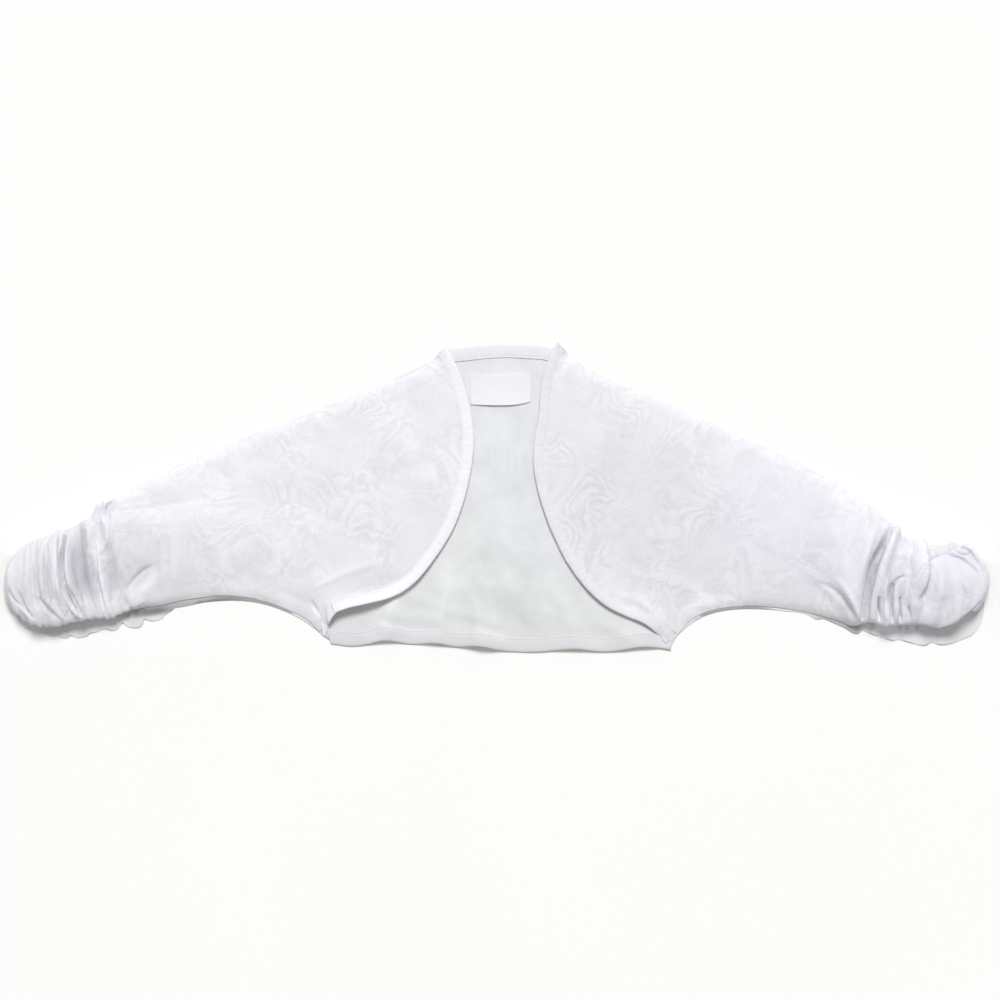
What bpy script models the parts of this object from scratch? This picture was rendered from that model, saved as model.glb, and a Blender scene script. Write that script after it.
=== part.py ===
"""A girl's bolero jacket in sheer white chiffon, laid flat on a table, front side up.

The back and the two fronts are each cut in one with their half of the sleeves.
They are sewn together along the overarm and the underarm, and those two seams
are gathered over the last stretch of each sleeve, so that the cloth puffs up
into ruches there. A bias binding folds round the front edges, the back neck
and the back hem, and a woven label is sewn inside the back neck.

Frame: +X to the right as seen from above, +Y towards the neck, +Z up. The
table is at z = 0 and the origin is the middle of the garment's outline on it.
All sizes are in metres.
"""

import math
from collections import namedtuple

import bpy
import numpy as np

# Cloth walls, and the air between pieces that touch on the real garment.
CLOTH = 0.0012
BINDING_CLOTH = 0.0008
LABEL_CLOTH = 0.0008
GAP = 0.0003

BINDING_WIDTH = 0.0115
BINDING_NOSE = BINDING_CLOTH + GAP
LABEL_WIDTH = 0.060
LABEL_HEIGHT = 0.030
LABEL_CENTRE = (0.001, 0.106)
LABEL_LIFT = 0.0016
# How much less the label's lower corners stand off than its middle.
LABEL_CURL = 0.35

# The seams along the arms, where a front lies on the back.
SEAM_HEIGHT = CLOTH + GAP
# The back is raised by this much where a binding folds under its edge.
BOUND_LIFT = BINDING_CLOTH + GAP
NECK_LIFT_FROM = 0.035
NECK_LIFT_TO = 0.07
HEM_LIFT_FROM = 0.70
# How quickly the back rises to its bound hem, and to the hem's own waves.
HEM_RISE = 1.4
HEM_WAVE_REACH = 1.3
BACK_EDGE_SHOWING = 0.0025

# How far a front's own edge shapes the panel, in rows of the section table.
EDGE_REACH = 8.0
EDGE_HEIGHT_REACH = 2.5
# Powers of the arch across the arm: lens-shaped on the body, full at the ruches.
BODY_ARCH = 0.85
RUCHE_ARCH = 0.5
# The rows between which the arch changes from one to the other.
RUCHED_FROM = 5
RUCHED_FULL = 8
# A ruche's line swings out quickly near its seams and runs straighter in its middle.
BOW_FULLNESS = 0.7
GATHER_PINCH = 0.0018

# One row for each section across an arm, from the front edge outwards. x is the
# distance from the middle of the jacket, crown is how high the front's middle stands
# off the back, and peep is how far the back shows past the front's overarm edge.
Section = namedtuple("Section", "top_x top_y low_x low_y crown peep")
# One row for each ruche. bow is how far its middle swings out to the sleeve's end,
# lean is where it is highest, from 0 at the overarm to 1 at the underarm, and dip is
# the height of the valley after it.
Ruche = namedtuple("Ruche", "top_x top_y low_x low_y bow crown lean dip peep")
# The front edge from the shoulder to the side seam. height is the cloth's underside.
EdgePoint = namedtuple("EdgePoint", "x y height")
# A soft fold from one point to another. height is negative for a trough.
Fold = namedtuple("Fold", "from_x from_y to_x to_y width height")
# The back hem, from the left side seam to the right one. height is its underside.
HemPoint = namedtuple("HemPoint", "x y height")

# bound_to is the share of the edge that the binding covers, from the shoulder down.
# frill_at_mouth is how much of the frill is left at the sleeve's end, and frill_flare is
# how far it swings out there.
Side = namedtuple(
    "Side", "name sign sections ruches mouth edge bound_to folds frill_at_mouth frill_flare"
)

LEFT = Side(
    name="left",
    sign=-1,
    sections=(
        Section(0.054, 0.150, 0.174, -0.145, 0.0010, 0.0),
        Section(0.076, 0.128, 0.189, -0.127, 0.0030, 0.003),
        Section(0.113, 0.113, 0.209, -0.116, 0.0050, 0.0),
        Section(0.162, 0.094, 0.235, -0.106, 0.0065, 0.0),
        Section(0.216, 0.073, 0.264, -0.102, 0.0075, 0.0),
        Section(0.270, 0.051, 0.298, -0.105, 0.0095, 0.0),
        Section(0.325, 0.028, 0.334, -0.111, 0.0130, 0.0),
        Section(0.366, 0.006, 0.362, -0.115, 0.0160, 0.0),
    ),
    ruches=(
        Ruche(0.388, -0.004, 0.383, -0.121, 0.006, 0.0215, 0.50, 0.0155, 0.002),
        Ruche(0.408, -0.021, 0.396, -0.123, 0.006, 0.0245, 0.42, 0.0170, 0.0),
        Ruche(0.429, -0.034, 0.409, -0.124, 0.009, 0.0265, 0.60, 0.0165, 0.0),
        Ruche(0.443, -0.038, 0.424, -0.127, 0.011, 0.0250, 0.38, 0.0190, 0.0),
        Ruche(0.452, -0.041, 0.440, -0.131, 0.008, 0.0255, 0.46, 0.0195, 0.0),
        Ruche(0.463, -0.045, 0.457, -0.131, 0.010, 0.0240, 0.55, 0.0185, 0.0),
        Ruche(0.474, -0.050, 0.472, -0.127, 0.014, 0.0215, 0.50, 0.0180, 0.0),
    ),
    mouth=Ruche(0.480, -0.056, 0.481, -0.121, 0.0125, 0.0120, 0.50, 0.0, 0.0),
    edge=(
        EdgePoint(0.054, 0.150, 0.0052),
        EdgePoint(0.040, 0.125, 0.0044),
        EdgePoint(0.029, 0.088, 0.0028),
        EdgePoint(0.025, 0.054, 0.0028),
        EdgePoint(0.030, 0.018, 0.0028),
        EdgePoint(0.044, -0.022, 0.0028),
        EdgePoint(0.066, -0.062, 0.0032),
        EdgePoint(0.100, -0.096, 0.0070),
        EdgePoint(0.137, -0.110, 0.0125),
        EdgePoint(0.163, -0.119, 0.0120),
        EdgePoint(0.174, -0.145, 0.0030),
    ),
    bound_to=0.895,
    folds=(
        Fold(0.196, -0.097, 0.112, -0.064, 0.010, 0.0030),
        Fold(0.380, -0.014, 0.296, -0.002, 0.010, -0.0030),
        Fold(0.368, -0.100, 0.340, -0.060, 0.011, -0.0030),
    ),
    frill_at_mouth=0.15,
    frill_flare=0.004,
)

RIGHT = Side(
    name="right",
    sign=1,
    sections=(
        Section(0.058, 0.154, 0.171, -0.153, 0.0010, 0.0),
        Section(0.082, 0.131, 0.184, -0.132, 0.0030, 0.0),
        Section(0.120, 0.112, 0.203, -0.118, 0.0050, 0.0),
        Section(0.166, 0.093, 0.229, -0.112, 0.0065, 0.0),
        Section(0.216, 0.071, 0.257, -0.111, 0.0075, 0.0),
        Section(0.270, 0.046, 0.290, -0.114, 0.0095, 0.0),
        Section(0.322, 0.020, 0.320, -0.120, 0.0130, 0.0),
        Section(0.362, -0.005, 0.344, -0.127, 0.0175, 0.0),
    ),
    ruches=(
        Ruche(0.379, -0.018, 0.355, -0.132, -0.001, 0.0210, 0.62, 0.0120, 0.0),
        Ruche(0.395, -0.031, 0.370, -0.128, -0.002, 0.0270, 0.45, 0.0195, 0.0),
        Ruche(0.404, -0.040, 0.384, -0.131, 0.003, 0.0265, 0.60, 0.0165, 0.0),
        Ruche(0.419, -0.046, 0.401, -0.129, 0.007, 0.0285, 0.42, 0.0160, 0.0),
        Ruche(0.441, -0.060, 0.421, -0.129, 0.010, 0.0255, 0.50, 0.0195, 0.010),
        Ruche(0.455, -0.055, 0.438, -0.133, 0.017, 0.0250, 0.56, 0.0190, 0.009),
        Ruche(0.467, -0.053, 0.453, -0.128, 0.021, 0.0220, 0.45, 0.0180, 0.003),
    ),
    mouth=Ruche(0.474, -0.060, 0.465, -0.120, 0.018, 0.0120, 0.50, 0.0, 0.0),
    edge=(
        EdgePoint(0.058, 0.154, 0.0052),
        EdgePoint(0.045, 0.128, 0.0044),
        EdgePoint(0.039, 0.092, 0.0028),
        EdgePoint(0.034, 0.048, 0.0028),
        EdgePoint(0.037, 0.008, 0.0028),
        EdgePoint(0.053, -0.040, 0.0028),
        EdgePoint(0.081, -0.082, 0.0032),
        EdgePoint(0.111, -0.112, 0.0042),
        EdgePoint(0.138, -0.124, 0.0070),
        EdgePoint(0.157, -0.139, 0.0055),
        EdgePoint(0.171, -0.153, 0.0042),
    ),
    bound_to=0.93,
    folds=(
        Fold(0.358, -0.120, 0.326, -0.060, 0.010, 0.0035),
        Fold(0.344, -0.116, 0.306, -0.070, 0.010, -0.0030),
    ),
    frill_at_mouth=0.45,
    frill_flare=0.016,
)

HEM = (
    HemPoint(-0.168, -0.149, 0.0),
    HemPoint(-0.150, -0.152, 0.0),
    HemPoint(-0.132, -0.150, 0.0006),
    HemPoint(-0.115, -0.145, 0.0046),
    HemPoint(-0.096, -0.149, 0.0),
    HemPoint(-0.082, -0.150, 0.0),
    HemPoint(-0.063, -0.148, 0.0040),
    HemPoint(-0.043, -0.153, 0.0),
    HemPoint(-0.022, -0.151, 0.0042),
    HemPoint(0.000, -0.156, 0.0),
    HemPoint(0.030, -0.158, 0.0),
    HemPoint(0.056, -0.156, 0.0012),
    HemPoint(0.078, -0.154, 0.0038),
    HemPoint(0.105, -0.158, 0.0),
    HemPoint(0.130, -0.154, 0.0032),
    HemPoint(0.148, -0.152, 0.0034),
    HemPoint(0.166, -0.154, 0.0),
)
# The back neck is a shallow arc between the two shoulders.
NECK_LEFT = (-0.046, 0.146)
NECK_RIGHT = (0.0505, 0.148)
NECK_RISE = 0.0045

# Scallops of the under layer that peep out below a ruched underarm seam.
FRILL_FROM = 5.5
FRILL_FULL = 7.0
FRILL_ENDING = 3.0
FRILL_OUT = 0.0065
FRILL_WAVE = 0.0055
FRILL_HEIGHT = 0.0035
FRILL_PITCH = 0.0185

# Mesh divisions.
ROW_STEPS = 2
ACROSS_STEPS = 22
CENTRE_STEPS = 32
BACK_ACROSS = (0, 0.035, 0.07, 0.15, 0.27, 0.41, 0.56, 0.70, 0.82, 0.91, 0.955, 1)
ARM_ACROSS = (0, 0.08, 0.20, 0.34, 0.50, 0.66, 0.80, 0.92, 1)
FRILL_ACROSS = (0.3, 0.65, 1)
LABEL_STEPS = (8, 4)
# How much closer together the lines across an arm lie at its seams, from 0 to 1.
SEAM_CROWDING = 0.4

CHIFFON_WHITE = (0.86, 0.855, 0.885)
BINDING_WHITE = (0.90, 0.895, 0.925)
LABEL_WHITE = (0.93, 0.93, 0.94)


def smooth_through(rows, at):
    """The value at a place along the rows, counted in rows, on a smooth curve through them."""
    rows = np.asarray(rows, float)
    last = len(rows) - 1
    at = min(max(at, 0.0), float(last))
    i = min(int(at), last - 1)
    t = at - i
    before = rows[max(i - 1, 0)]
    after = rows[min(i + 2, last)]
    a, b = rows[i], rows[i + 1]
    slope_a = (b - before) / 2
    slope_b = (after - a) / 2
    t2, t3 = t * t, t * t * t
    return (
        (2 * t3 - 3 * t2 + 1) * a
        + (t3 - 2 * t2 + t) * slope_a
        + (3 * t2 - 2 * t3) * b
        + (t3 - t2) * slope_b
    )


def arm_rows(side):
    """All the sections of one arm, with the ruches' ridges and the valleys between them in turn."""
    middle = 0.5
    rows = [(s.top_x, s.top_y, s.low_x, s.low_y, 0.0, s.crown, middle, s.peep) for s in side.sections]
    for ruche, after in zip(side.ruches, side.ruches[1:] + (side.mouth,)):
        top_x, top_y, low_x, low_y, bow = ((a + b) / 2 for a, b in zip(ruche[:5], after[:5]))
        peep = (ruche.peep + after.peep) / 2
        rows.append((*ruche[:5], ruche.crown, ruche.lean, ruche.peep))
        rows.append((top_x, top_y - GATHER_PINCH, low_x, low_y + GATHER_PINCH, bow, ruche.dip, middle, peep))
    mouth = side.mouth
    rows.append((*mouth[:5], mouth.crown, mouth.lean, mouth.peep))
    return rows


def edge_point(side, v):
    """The front edge as (x, y, height) at the share v of its rows, from the shoulder down."""
    return smooth_through(side.edge, v * (len(side.edge) - 1))


def fold_height(side, x, y):
    """What the soft folds add at a place on the front."""
    total = 0.0
    for fold in side.folds:
        along = np.array([fold.to_x - fold.from_x, fold.to_y - fold.from_y])
        away = np.array([x - fold.from_x, y - fold.from_y])
        share = float(away @ along / (along @ along))
        nearest = min(max(share, 0.0), 1.0)
        distance = float(np.linalg.norm(away - nearest * along))
        taper = math.sin(math.pi * (0.2 + 0.6 * nearest))
        total += fold.height * taper * math.exp(-((distance / fold.width) ** 2))
    return total


def front_point(side, rows, u, v):
    """A point of a front's underside. u counts rows from the front edge, v goes from overarm to underarm."""
    top_x, top_y, low_x, low_y, bow, crown, lean, _ = smooth_through(rows, u)
    edge_x, edge_y, edge_height = edge_point(side, v)
    first = rows[0]
    pull = max(0.0, 1 - u / EDGE_REACH) ** 2
    arch = math.sin(math.pi * v)
    x = top_x + (low_x - top_x) * v + bow * arch**BOW_FULLNESS
    y = top_y + (low_y - top_y) * v
    x += pull * (edge_x - first[0] - (first[2] - first[0]) * v)
    y += pull * (edge_y - first[1] - (first[3] - first[1]) * v)
    ruched = min(max((u - RUCHED_FROM) / (RUCHED_FULL - RUCHED_FROM), 0.0), 1.0)
    power = BODY_ARCH + (RUCHE_ARCH - BODY_ARCH) * ruched
    raised = max(0.0, 1 - u / EDGE_HEIGHT_REACH) ** 2 * (edge_height - SEAM_HEIGHT)
    leaning = math.sin(math.pi * v ** (math.log(0.5) / math.log(lean)))
    height = SEAM_HEIGHT + crown * leaning**power + raised
    height += fold_height(side, x, y) * min(1.0, 3 * arch)
    return np.array([side.sign * x, y, max(height, SEAM_HEIGHT)])


def inset_point(side, rows, v, depth):
    """A point of a front's underside that lies a depth inside its front edge."""
    edge = front_point(side, rows, 0.0, v)
    inner = front_point(side, rows, 0.5, v)
    step = 0.01
    tangent = front_point(side, rows, 0.0, min(v + step, 1)) - front_point(side, rows, 0.0, max(v - step, 0))
    tangent[2] = 0
    tangent /= np.linalg.norm(tangent)
    across = np.array([-tangent[1], tangent[0], 0])
    run = inner - edge
    reach = np.linalg.norm(run[:2])
    lean = max(abs(float(run @ across)) / reach, 0.6)
    return edge + run * min(depth / lean / reach, 0.9)


def front_stations(rows):
    """Row numbers of the panel's lines after its bound edge."""
    last = len(rows) - 1
    return [0.5 + i / ROW_STEPS for i in range(int((last - 0.5) * ROW_STEPS) + 1)]


def across_shares(steps):
    """Shares from 0 to 1, closer together at both ends, where the cloth turns down to its seams."""
    even = [i / steps for i in range(steps + 1)]
    return [s + SEAM_CROWDING * ((1 - math.cos(math.pi * s)) / 2 - s) for s in even]


def normals_of(grid):
    """Upward unit normals of a grid of points."""
    along = np.gradient(grid, axis=0)
    across = np.gradient(grid, axis=1)
    normal = np.cross(along, across)
    normal /= np.linalg.norm(normal, axis=2)[..., None]
    return normal * np.sign(normal[..., 2].sum())


def closed_wall(under, over):
    """Points and triangles of the closed wall between two grids that face each other."""
    rows, columns, _ = under.shape
    count = rows * columns
    points = np.concatenate([under.reshape(-1, 3), over.reshape(-1, 3)])
    faces = []

    def cell(a, b, c, d):
        faces.extend([(a, b, c), (a, c, d)])

    def at(i, j):
        return i * columns + j

    for i in range(rows - 1):
        for j in range(columns - 1):
            ring = at(i, j), at(i + 1, j), at(i + 1, j + 1), at(i, j + 1)
            cell(*ring)
            a, b, c, d = (count + k for k in ring)
            faces.extend([(a, c, b), (a, d, c)])
    rim = [at(i, 0) for i in range(rows)]
    rim += [at(rows - 1, j) for j in range(1, columns)]
    rim += [at(i, columns - 1) for i in range(rows - 2, -1, -1)]
    rim += [at(0, j) for j in range(columns - 2, 0, -1)]
    for a, b in zip(rim, rim[1:] + rim[:1]):
        cell(a, count + a, count + b, b)
    return points, faces


def closed_strip(rings):
    """Points and triangles of a solid swept through rings of equal length, with flat ends."""
    size = len(rings[0])
    points = np.array(rings).reshape(-1, 3)
    faces = []
    for i in range(len(rings) - 1):
        for j in range(size):
            a, b = i * size + j, i * size + (j + 1) % size
            faces.extend([(a, b, b + size), (a, b + size, a + size)])
    half = size // 2
    for start in (0, (len(rings) - 1) * size):
        for j in range(half - 1):
            a, b = start + j, start + j + 1
            c, d = start + size - 2 - j, start + size - 1 - j
            faces.extend([(a, d, c), (a, c, b)] if start == 0 else [(a, c, d), (a, b, c)])
    return points, faces


def add_piece(name, points, faces, material):
    """One named solid of the garment, with its faces turned outwards."""
    corners = points[np.array(faces)]
    volume = float(np.linalg.det(corners).sum())
    if volume < 0:
        faces = [face[::-1] for face in faces]
    mesh = bpy.data.meshes.new(name)
    mesh.from_pydata([tuple(p) for p in points], [], faces)
    mesh.materials.append(material)
    mesh.shade_smooth()
    piece = bpy.data.objects.new(name, mesh)
    bpy.context.scene.collection.objects.link(piece)
    return piece


def cloth_material(name, colour, roughness):
    material = bpy.data.materials.new(name)
    material.use_nodes = True
    shader = material.node_tree.nodes["Principled BSDF"]
    shader.inputs["Base Color"].default_value = (*colour, 1)
    shader.inputs["Roughness"].default_value = roughness
    shader.inputs["Metallic"].default_value = 0
    return material


def make_front(side, material):
    """A front with its half of the sleeve: a thin arch that lies on the back at both seams."""
    rows = arm_rows(side)
    shares = across_shares(ACROSS_STEPS)
    lines = [
        [inset_point(side, rows, v, BINDING_NOSE) for v in shares],
        [inset_point(side, rows, v, BINDING_WIDTH) for v in shares],
    ]
    lines += [[front_point(side, rows, u, v) for v in shares] for u in front_stations(rows)]
    under = np.array(lines)
    over = under + CLOTH * normals_of(under)
    add_piece(f"front_{side.name}", *closed_wall(under, over), material)
    return shares, under, over


def fold_over(edge_under, inner_under, edge_over, inner_over, out):
    """One ring of a binding: it wraps an edge from the inner line below it to the inner line above."""
    down = (inner_under - inner_over) / np.linalg.norm(inner_under - inner_over)
    air, skin = GAP * down, (GAP + BINDING_CLOTH) * down
    middle = (edge_under + edge_over) / 2
    return [
        inner_under + skin,
        edge_under + skin,
        middle + out * BINDING_NOSE,
        edge_over - skin,
        inner_over - skin,
        inner_over - air,
        edge_over - air,
        middle + out * GAP,
        edge_under + air,
        inner_under + air,
    ]


def make_front_binding(side, shares, under, over, material):
    """The bias binding round one front edge, from the shoulder to near the side seam."""
    rings = []
    for k, v in enumerate(shares):
        if v > side.bound_to:
            break
        out = under[0, k] - under[1, k]
        out[2] = 0
        out /= np.linalg.norm(out)
        rings.append(fold_over(under[0, k], under[1, k], over[0, k], over[1, k], out))
    add_piece(f"front_binding_{side.name}", *closed_strip(rings), material)


def hem_point(share):
    """The back hem as (x, y, height) at a share of its length, left to right."""
    x, y, height = smooth_through(HEM, share * (len(HEM) - 1))
    return np.array([x, y, max(height, 0.0)])


def neck_point(share):
    """The back neck as (x, y, 0), left to right."""
    x = NECK_LEFT[0] + (NECK_RIGHT[0] - NECK_LEFT[0]) * share
    y = NECK_LEFT[1] + (NECK_RIGHT[1] - NECK_LEFT[1]) * share
    return np.array([x, y + NECK_RISE * 4 * share * (1 - share), 0.0])


def back_arm_lines(side):
    """Lines of the back under one arm, from overarm to underarm, from the side seam out to the mouth."""
    rows = arm_rows(side)
    last = len(rows) - 1
    frilled_from = int(FRILL_FROM)
    places = list(range(1, frilled_from))
    places += [frilled_from + i / ROW_STEPS for i in range((last - frilled_from) * ROW_STEPS + 1)]
    frill_start = rows[frilled_from][2]
    lines = []
    for u in places:
        top_x, top_y, low_x, low_y, bow, _, _, peep = smooth_through(rows, u)
        ruched = min(max((u - FRILL_FROM) / (FRILL_FULL - FRILL_FROM), 0.0), 1.0)
        ending = max(0.0, 1 - (last - u) / FRILL_ENDING)
        ruched *= 1 - (1 - side.frill_at_mouth) * ending
        scallop = abs(math.sin(math.pi * (low_x - frill_start) / FRILL_PITCH))
        low_out = BACK_EDGE_SHOWING + ruched * (FRILL_OUT + FRILL_WAVE * scallop)
        line = []
        for v in ARM_ACROSS:
            x = top_x + (low_x - top_x) * v + (bow - GAP) * abs(math.sin(math.pi * v)) ** BOW_FULLNESS
            y = top_y + peep - GAP + (low_y - top_y - peep + GAP) * v
            line.append(np.array([side.sign * x, y, 0.0]))
        lifted = ruched * FRILL_HEIGHT * scallop
        for share in FRILL_ACROSS:
            x = low_x + side.frill_flare * ending * share
            line.append(np.array([side.sign * x, low_y - low_out * share, lifted * share**2]))
        lines.append(line)
    return lines


def back_centre_lines():
    """Lines of the back from the neck to the hem, from the left shoulder to the right one."""
    lines = []
    for i in range(CENTRE_STEPS + 1):
        share = i / CENTRE_STEPS
        top, low = neck_point(share), hem_point(share)
        run = low - top
        run[2] = 0
        run /= np.linalg.norm(run)
        top, low = top + run * BINDING_NOSE, low - run * BINDING_NOSE
        line = []
        for v in BACK_ACROSS:
            point = top + (low - top) * v
            near_neck = min(max((NECK_LIFT_TO - v) / (NECK_LIFT_TO - NECK_LIFT_FROM), 0.0), 1.0)
            near_hem = max(0.0, (v - HEM_LIFT_FROM) / (1 - HEM_LIFT_FROM))
            bound = near_neck + min(1.0, HEM_RISE * near_hem)
            point[2] = BOUND_LIFT * bound + low[2] * near_hem**HEM_WAVE_REACH
            line.append(point)
        lines.append(line)
    return lines


def make_back(material):
    """The back with its halves of the sleeves, flat on the table but for its hem and its frills."""
    centre = back_centre_lines()
    lines = back_arm_lines(LEFT)[::-1] + centre + back_arm_lines(RIGHT)
    under = np.array(lines)
    over = under + np.array([0, 0, CLOTH])
    add_piece("back", *closed_wall(under, over), material)
    return np.array(centre)


def line_at(line, distance):
    """The point of a line of the back at a distance from its first point."""
    passed = 0.0
    for a, b in zip(line, line[1:]):
        step = float(np.linalg.norm(b - a))
        if passed + step >= distance:
            return a + (b - a) * (distance - passed) / step
        passed += step
    return line[-1]


def make_back_binding(name, lines, material):
    """A binding round the ends of the back's lines, whose first points are the bound edge."""
    rings = []
    up = np.array([0, 0, CLOTH])
    for line in lines:
        inner = line_at(line, BINDING_WIDTH - BINDING_NOSE)
        out = line[0] - inner
        out[2] = 0
        out /= np.linalg.norm(out)
        rings.append(fold_over(line[0], inner, line[0] + up, inner + up, out))
    add_piece(name, *closed_strip(rings), material)


def make_label(material):
    """The woven label, sewn on along its top, with its lower edge standing a little off the back."""
    columns, rows = LABEL_STEPS
    under = np.zeros((columns + 1, rows + 1, 3))
    for i in range(columns + 1):
        for j in range(rows + 1):
            across, down = i / columns, j / rows
            bend = 1 - LABEL_CURL * (1 - math.sin(math.pi * across))
            under[i, j] = (
                LABEL_CENTRE[0] + LABEL_WIDTH * (across - 0.5),
                LABEL_CENTRE[1] + LABEL_HEIGHT * (0.5 - down),
                SEAM_HEIGHT + LABEL_LIFT * bend * down**2,
            )
    over = under + np.array([0, 0, LABEL_CLOTH])
    add_piece("label", *closed_wall(under, over), material)


def main():
    for obj in list(bpy.data.objects):
        bpy.data.objects.remove(obj)
    chiffon = cloth_material("chiffon", CHIFFON_WHITE, 0.8)
    binding = cloth_material("binding", BINDING_WHITE, 0.7)
    satin = cloth_material("label_satin", LABEL_WHITE, 0.45)
    centre = make_back(chiffon)
    make_back_binding("hem_binding", centre[:, ::-1], binding)
    make_back_binding("neck_binding", centre, binding)
    for side in (LEFT, RIGHT):
        shares, under, over = make_front(side, chiffon)
        make_front_binding(side, shares, under, over, binding)
    make_label(satin)


main()
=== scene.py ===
"""The looks of a girl's sheer white bolero jacket, laid flat: thin chiffon shells with their folds and
ruches, folded bias bindings, a woven label, stitching, and the pale table that it lies on."""

import math
from collections import namedtuple

import bmesh
import bpy
import numpy as np
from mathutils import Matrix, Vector, noise
from mathutils.bvhtree import BVHTree
from mathutils.kdtree import KDTree


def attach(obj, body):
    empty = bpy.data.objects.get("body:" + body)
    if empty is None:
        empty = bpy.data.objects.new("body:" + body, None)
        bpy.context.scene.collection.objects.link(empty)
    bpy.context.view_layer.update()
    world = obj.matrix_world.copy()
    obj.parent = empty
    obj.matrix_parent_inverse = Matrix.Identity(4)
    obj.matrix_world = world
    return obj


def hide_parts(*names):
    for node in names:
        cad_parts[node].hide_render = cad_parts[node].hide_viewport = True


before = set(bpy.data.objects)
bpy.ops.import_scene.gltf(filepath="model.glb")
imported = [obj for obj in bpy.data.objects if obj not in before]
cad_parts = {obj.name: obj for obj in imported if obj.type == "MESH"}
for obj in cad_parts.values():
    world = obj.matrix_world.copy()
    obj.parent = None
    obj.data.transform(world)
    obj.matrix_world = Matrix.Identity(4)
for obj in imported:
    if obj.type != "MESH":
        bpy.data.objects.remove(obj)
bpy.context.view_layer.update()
BODY = "root"
MM = 0.001
WELD = 1e-6
# Higher than all of the cloth.
ABOVE = 0.2

bl_info = {
    "name": "Chiffon bolero jacket",
    "version": (1, 0, 0),
    "blender": (4, 5, 0),
    "location": "3D View > Sidebar > Bolero",
    "description": "Makes a sheer white bolero jacket, laid flat on a table",
    "category": "Mesh",
}

# The solids' wall, which tells a panel's rim from its two faces.
SOLID_WALL = 1.2 * MM
WALL_TOLERANCE = 0.002 * MM
# The gap under a sheet that lies on the table or is sewn down, and the least gap anywhere.
LAYER_GAP = 0.1 * MM
LEAST_GAP = 0.05 * MM

# A crease or fold of the cloth, from one point to another by way of a middle point, all in
# millimetres on the table. height is the ridge's, or the trough's if it is negative. A lean
# makes the right-hand side of its line steep, and a negative lean the left-hand side.
Crease = namedtuple("Crease", "x0 y0 x1 y1 x2 y2 width height lean", defaults=(0,))
# A place where the cloth is pulled aside or up, in millimetres.
Pull = namedtuple("Pull", "x y dx dy dz reach")
# A place where the cloth is painted lighter or darker. Some stand for more or fewer layers lying on each
# other, and many are painted shade and painted light: in slits, valleys and under raised edges, or on ridges
# that the light misses.
# along and across are its half sizes, turn is in degrees, tone is how much lighter it looks, and violet how
# much cooler.
Patch = namedtuple("Patch", "x y along across turn tone violet")
# A seam allowance that shows through the cloth: where it runs along the underarm seam, how
# wide it is in millimetres, and how much lighter it looks.
Allowance = namedtuple("Allowance", "x_from x_to wide tone")
# A binding: its solid, the panel that it is folded round, a place that its edge bends round,
# its width against STRIP_TOP, how far its inner edge stands off, its ends, how light it looks
# and a seed for its puckers. How light it looks is partly painted light: the left front's strip is
# painted lighter and the right front's darker, as the light falls on them. An end is a place and a
# slant, by which the inner edge runs on further than the fold does. Places are in millimetres.
Strip = namedtuple("Strip", "node panel centre wide stand ends tone seed")

LEFT_CREASES = (
    # The ridge that forks near the overarm, and the valleys on both sides of it.
    Crease(-398, -20, -390, -40, -396, -58, 2.4, 2.6, -0.3),
    Crease(-399, -52, -395, -84, -387, -122, 4.2, 5.0, -0.3),
    Crease(-391, -48, -385, -72, -385, -106, 3.6, -3.6),
    Crease(-415, -26, -407, -44, -401, -64, 4.0, 1.8),
    Crease(-420, -34, -419, -68, -411, -104, 7.0, -5.5, 0.3),
    Crease(-406, -64, -400, -86, -393, -112, 1.4, -3.4),
    # Narrow ruches, with slits where one laps over the next.
    Crease(-434, -42, -436, -66, -433, -88, 1.6, -6.5),
    Crease(-434, -84, -429, -102, -417, -120, 1.5, -2.8),
    Crease(-429, -42, -430, -76, -421, -110, 1.8, 2.6, 0.4),
    Crease(-427, -92, -421, -107, -412, -123, 1.6, -2.6),
    Crease(-434, -98, -426, -112, -416, -123, 2.2, 2.4),
    Crease(-450, -52, -448, -80, -444, -106, 1.3, -3.4),
    Crease(-441, -42, -441, -80, -433, -118, 2.6, 2.8, 0.3),
    Crease(-455, -46, -455, -84, -449, -119, 2.4, 2.0, 0.3),
    Crease(-463, -56, -464, -90, -459, -112, 1.9, -1.6),
    Crease(-477, -98, -472, -112, -463, -123, 1.6, -3.0),
    Crease(-488, -95, -482, -105, -474, -112, 1.6, -2.4),
    Crease(-483, -99, -477, -110, -468, -121, 2.4, 1.8),
    Crease(-456, -104, -448, -115, -440, -123, 1.8, -2.8),
    Crease(-450, -103, -443, -114, -433, -124, 2.3, 2.2),
    # The tuft at the overarm seam.
    Crease(-400, -4, -397, -14, -399, -26, 1.3, -3.4),
    Crease(-387, -8, -391, -14, -390, -26, 1.3, -3.0),
    Crease(-394, -4, -394, -11, -395, -20, 2.4, 2.4),
    # Where the ruched end meets the smooth sleeve.
    Crease(-373, -103, -370, -110, -366, -116, 1.5, -3.0),
    Crease(-370, -94, -359, -80, -346, -71, 2.0, -2.0),
    Crease(-358, -101, -350, -91, -341, -80, 7.0, 2.8),
    Crease(-379, -26, -374, -56, -378, -84, 5.0, 1.2),
    # The smooth sleeve and the body.
    Crease(-388, -18, -345, -12, -298, -4, 2.4, -1.0),
    Crease(-340, -22, -322, -60, -330, -100, 9.0, 1.2),
    Crease(-182, -92, -150, -77, -118, -67, 2.4, 1.5),
    Crease(-188, -106, -185, -112, -181, -119, 1.8, -1.8),
    Crease(-150, -98, -120, -92, -92, -80, 6.0, -1.2),
    Crease(-300, -20, -250, -30, -205, -64, 12.0, 1.2),
    Crease(-270, 20, -210, -4, -150, 6, 14.0, -1.0),
    Crease(-230, -96, -222, -70, -226, -40, 8.0, 0.9),
    Crease(-140, 60, -100, 20, -84, -30, 12.0, -0.9),
)

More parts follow.
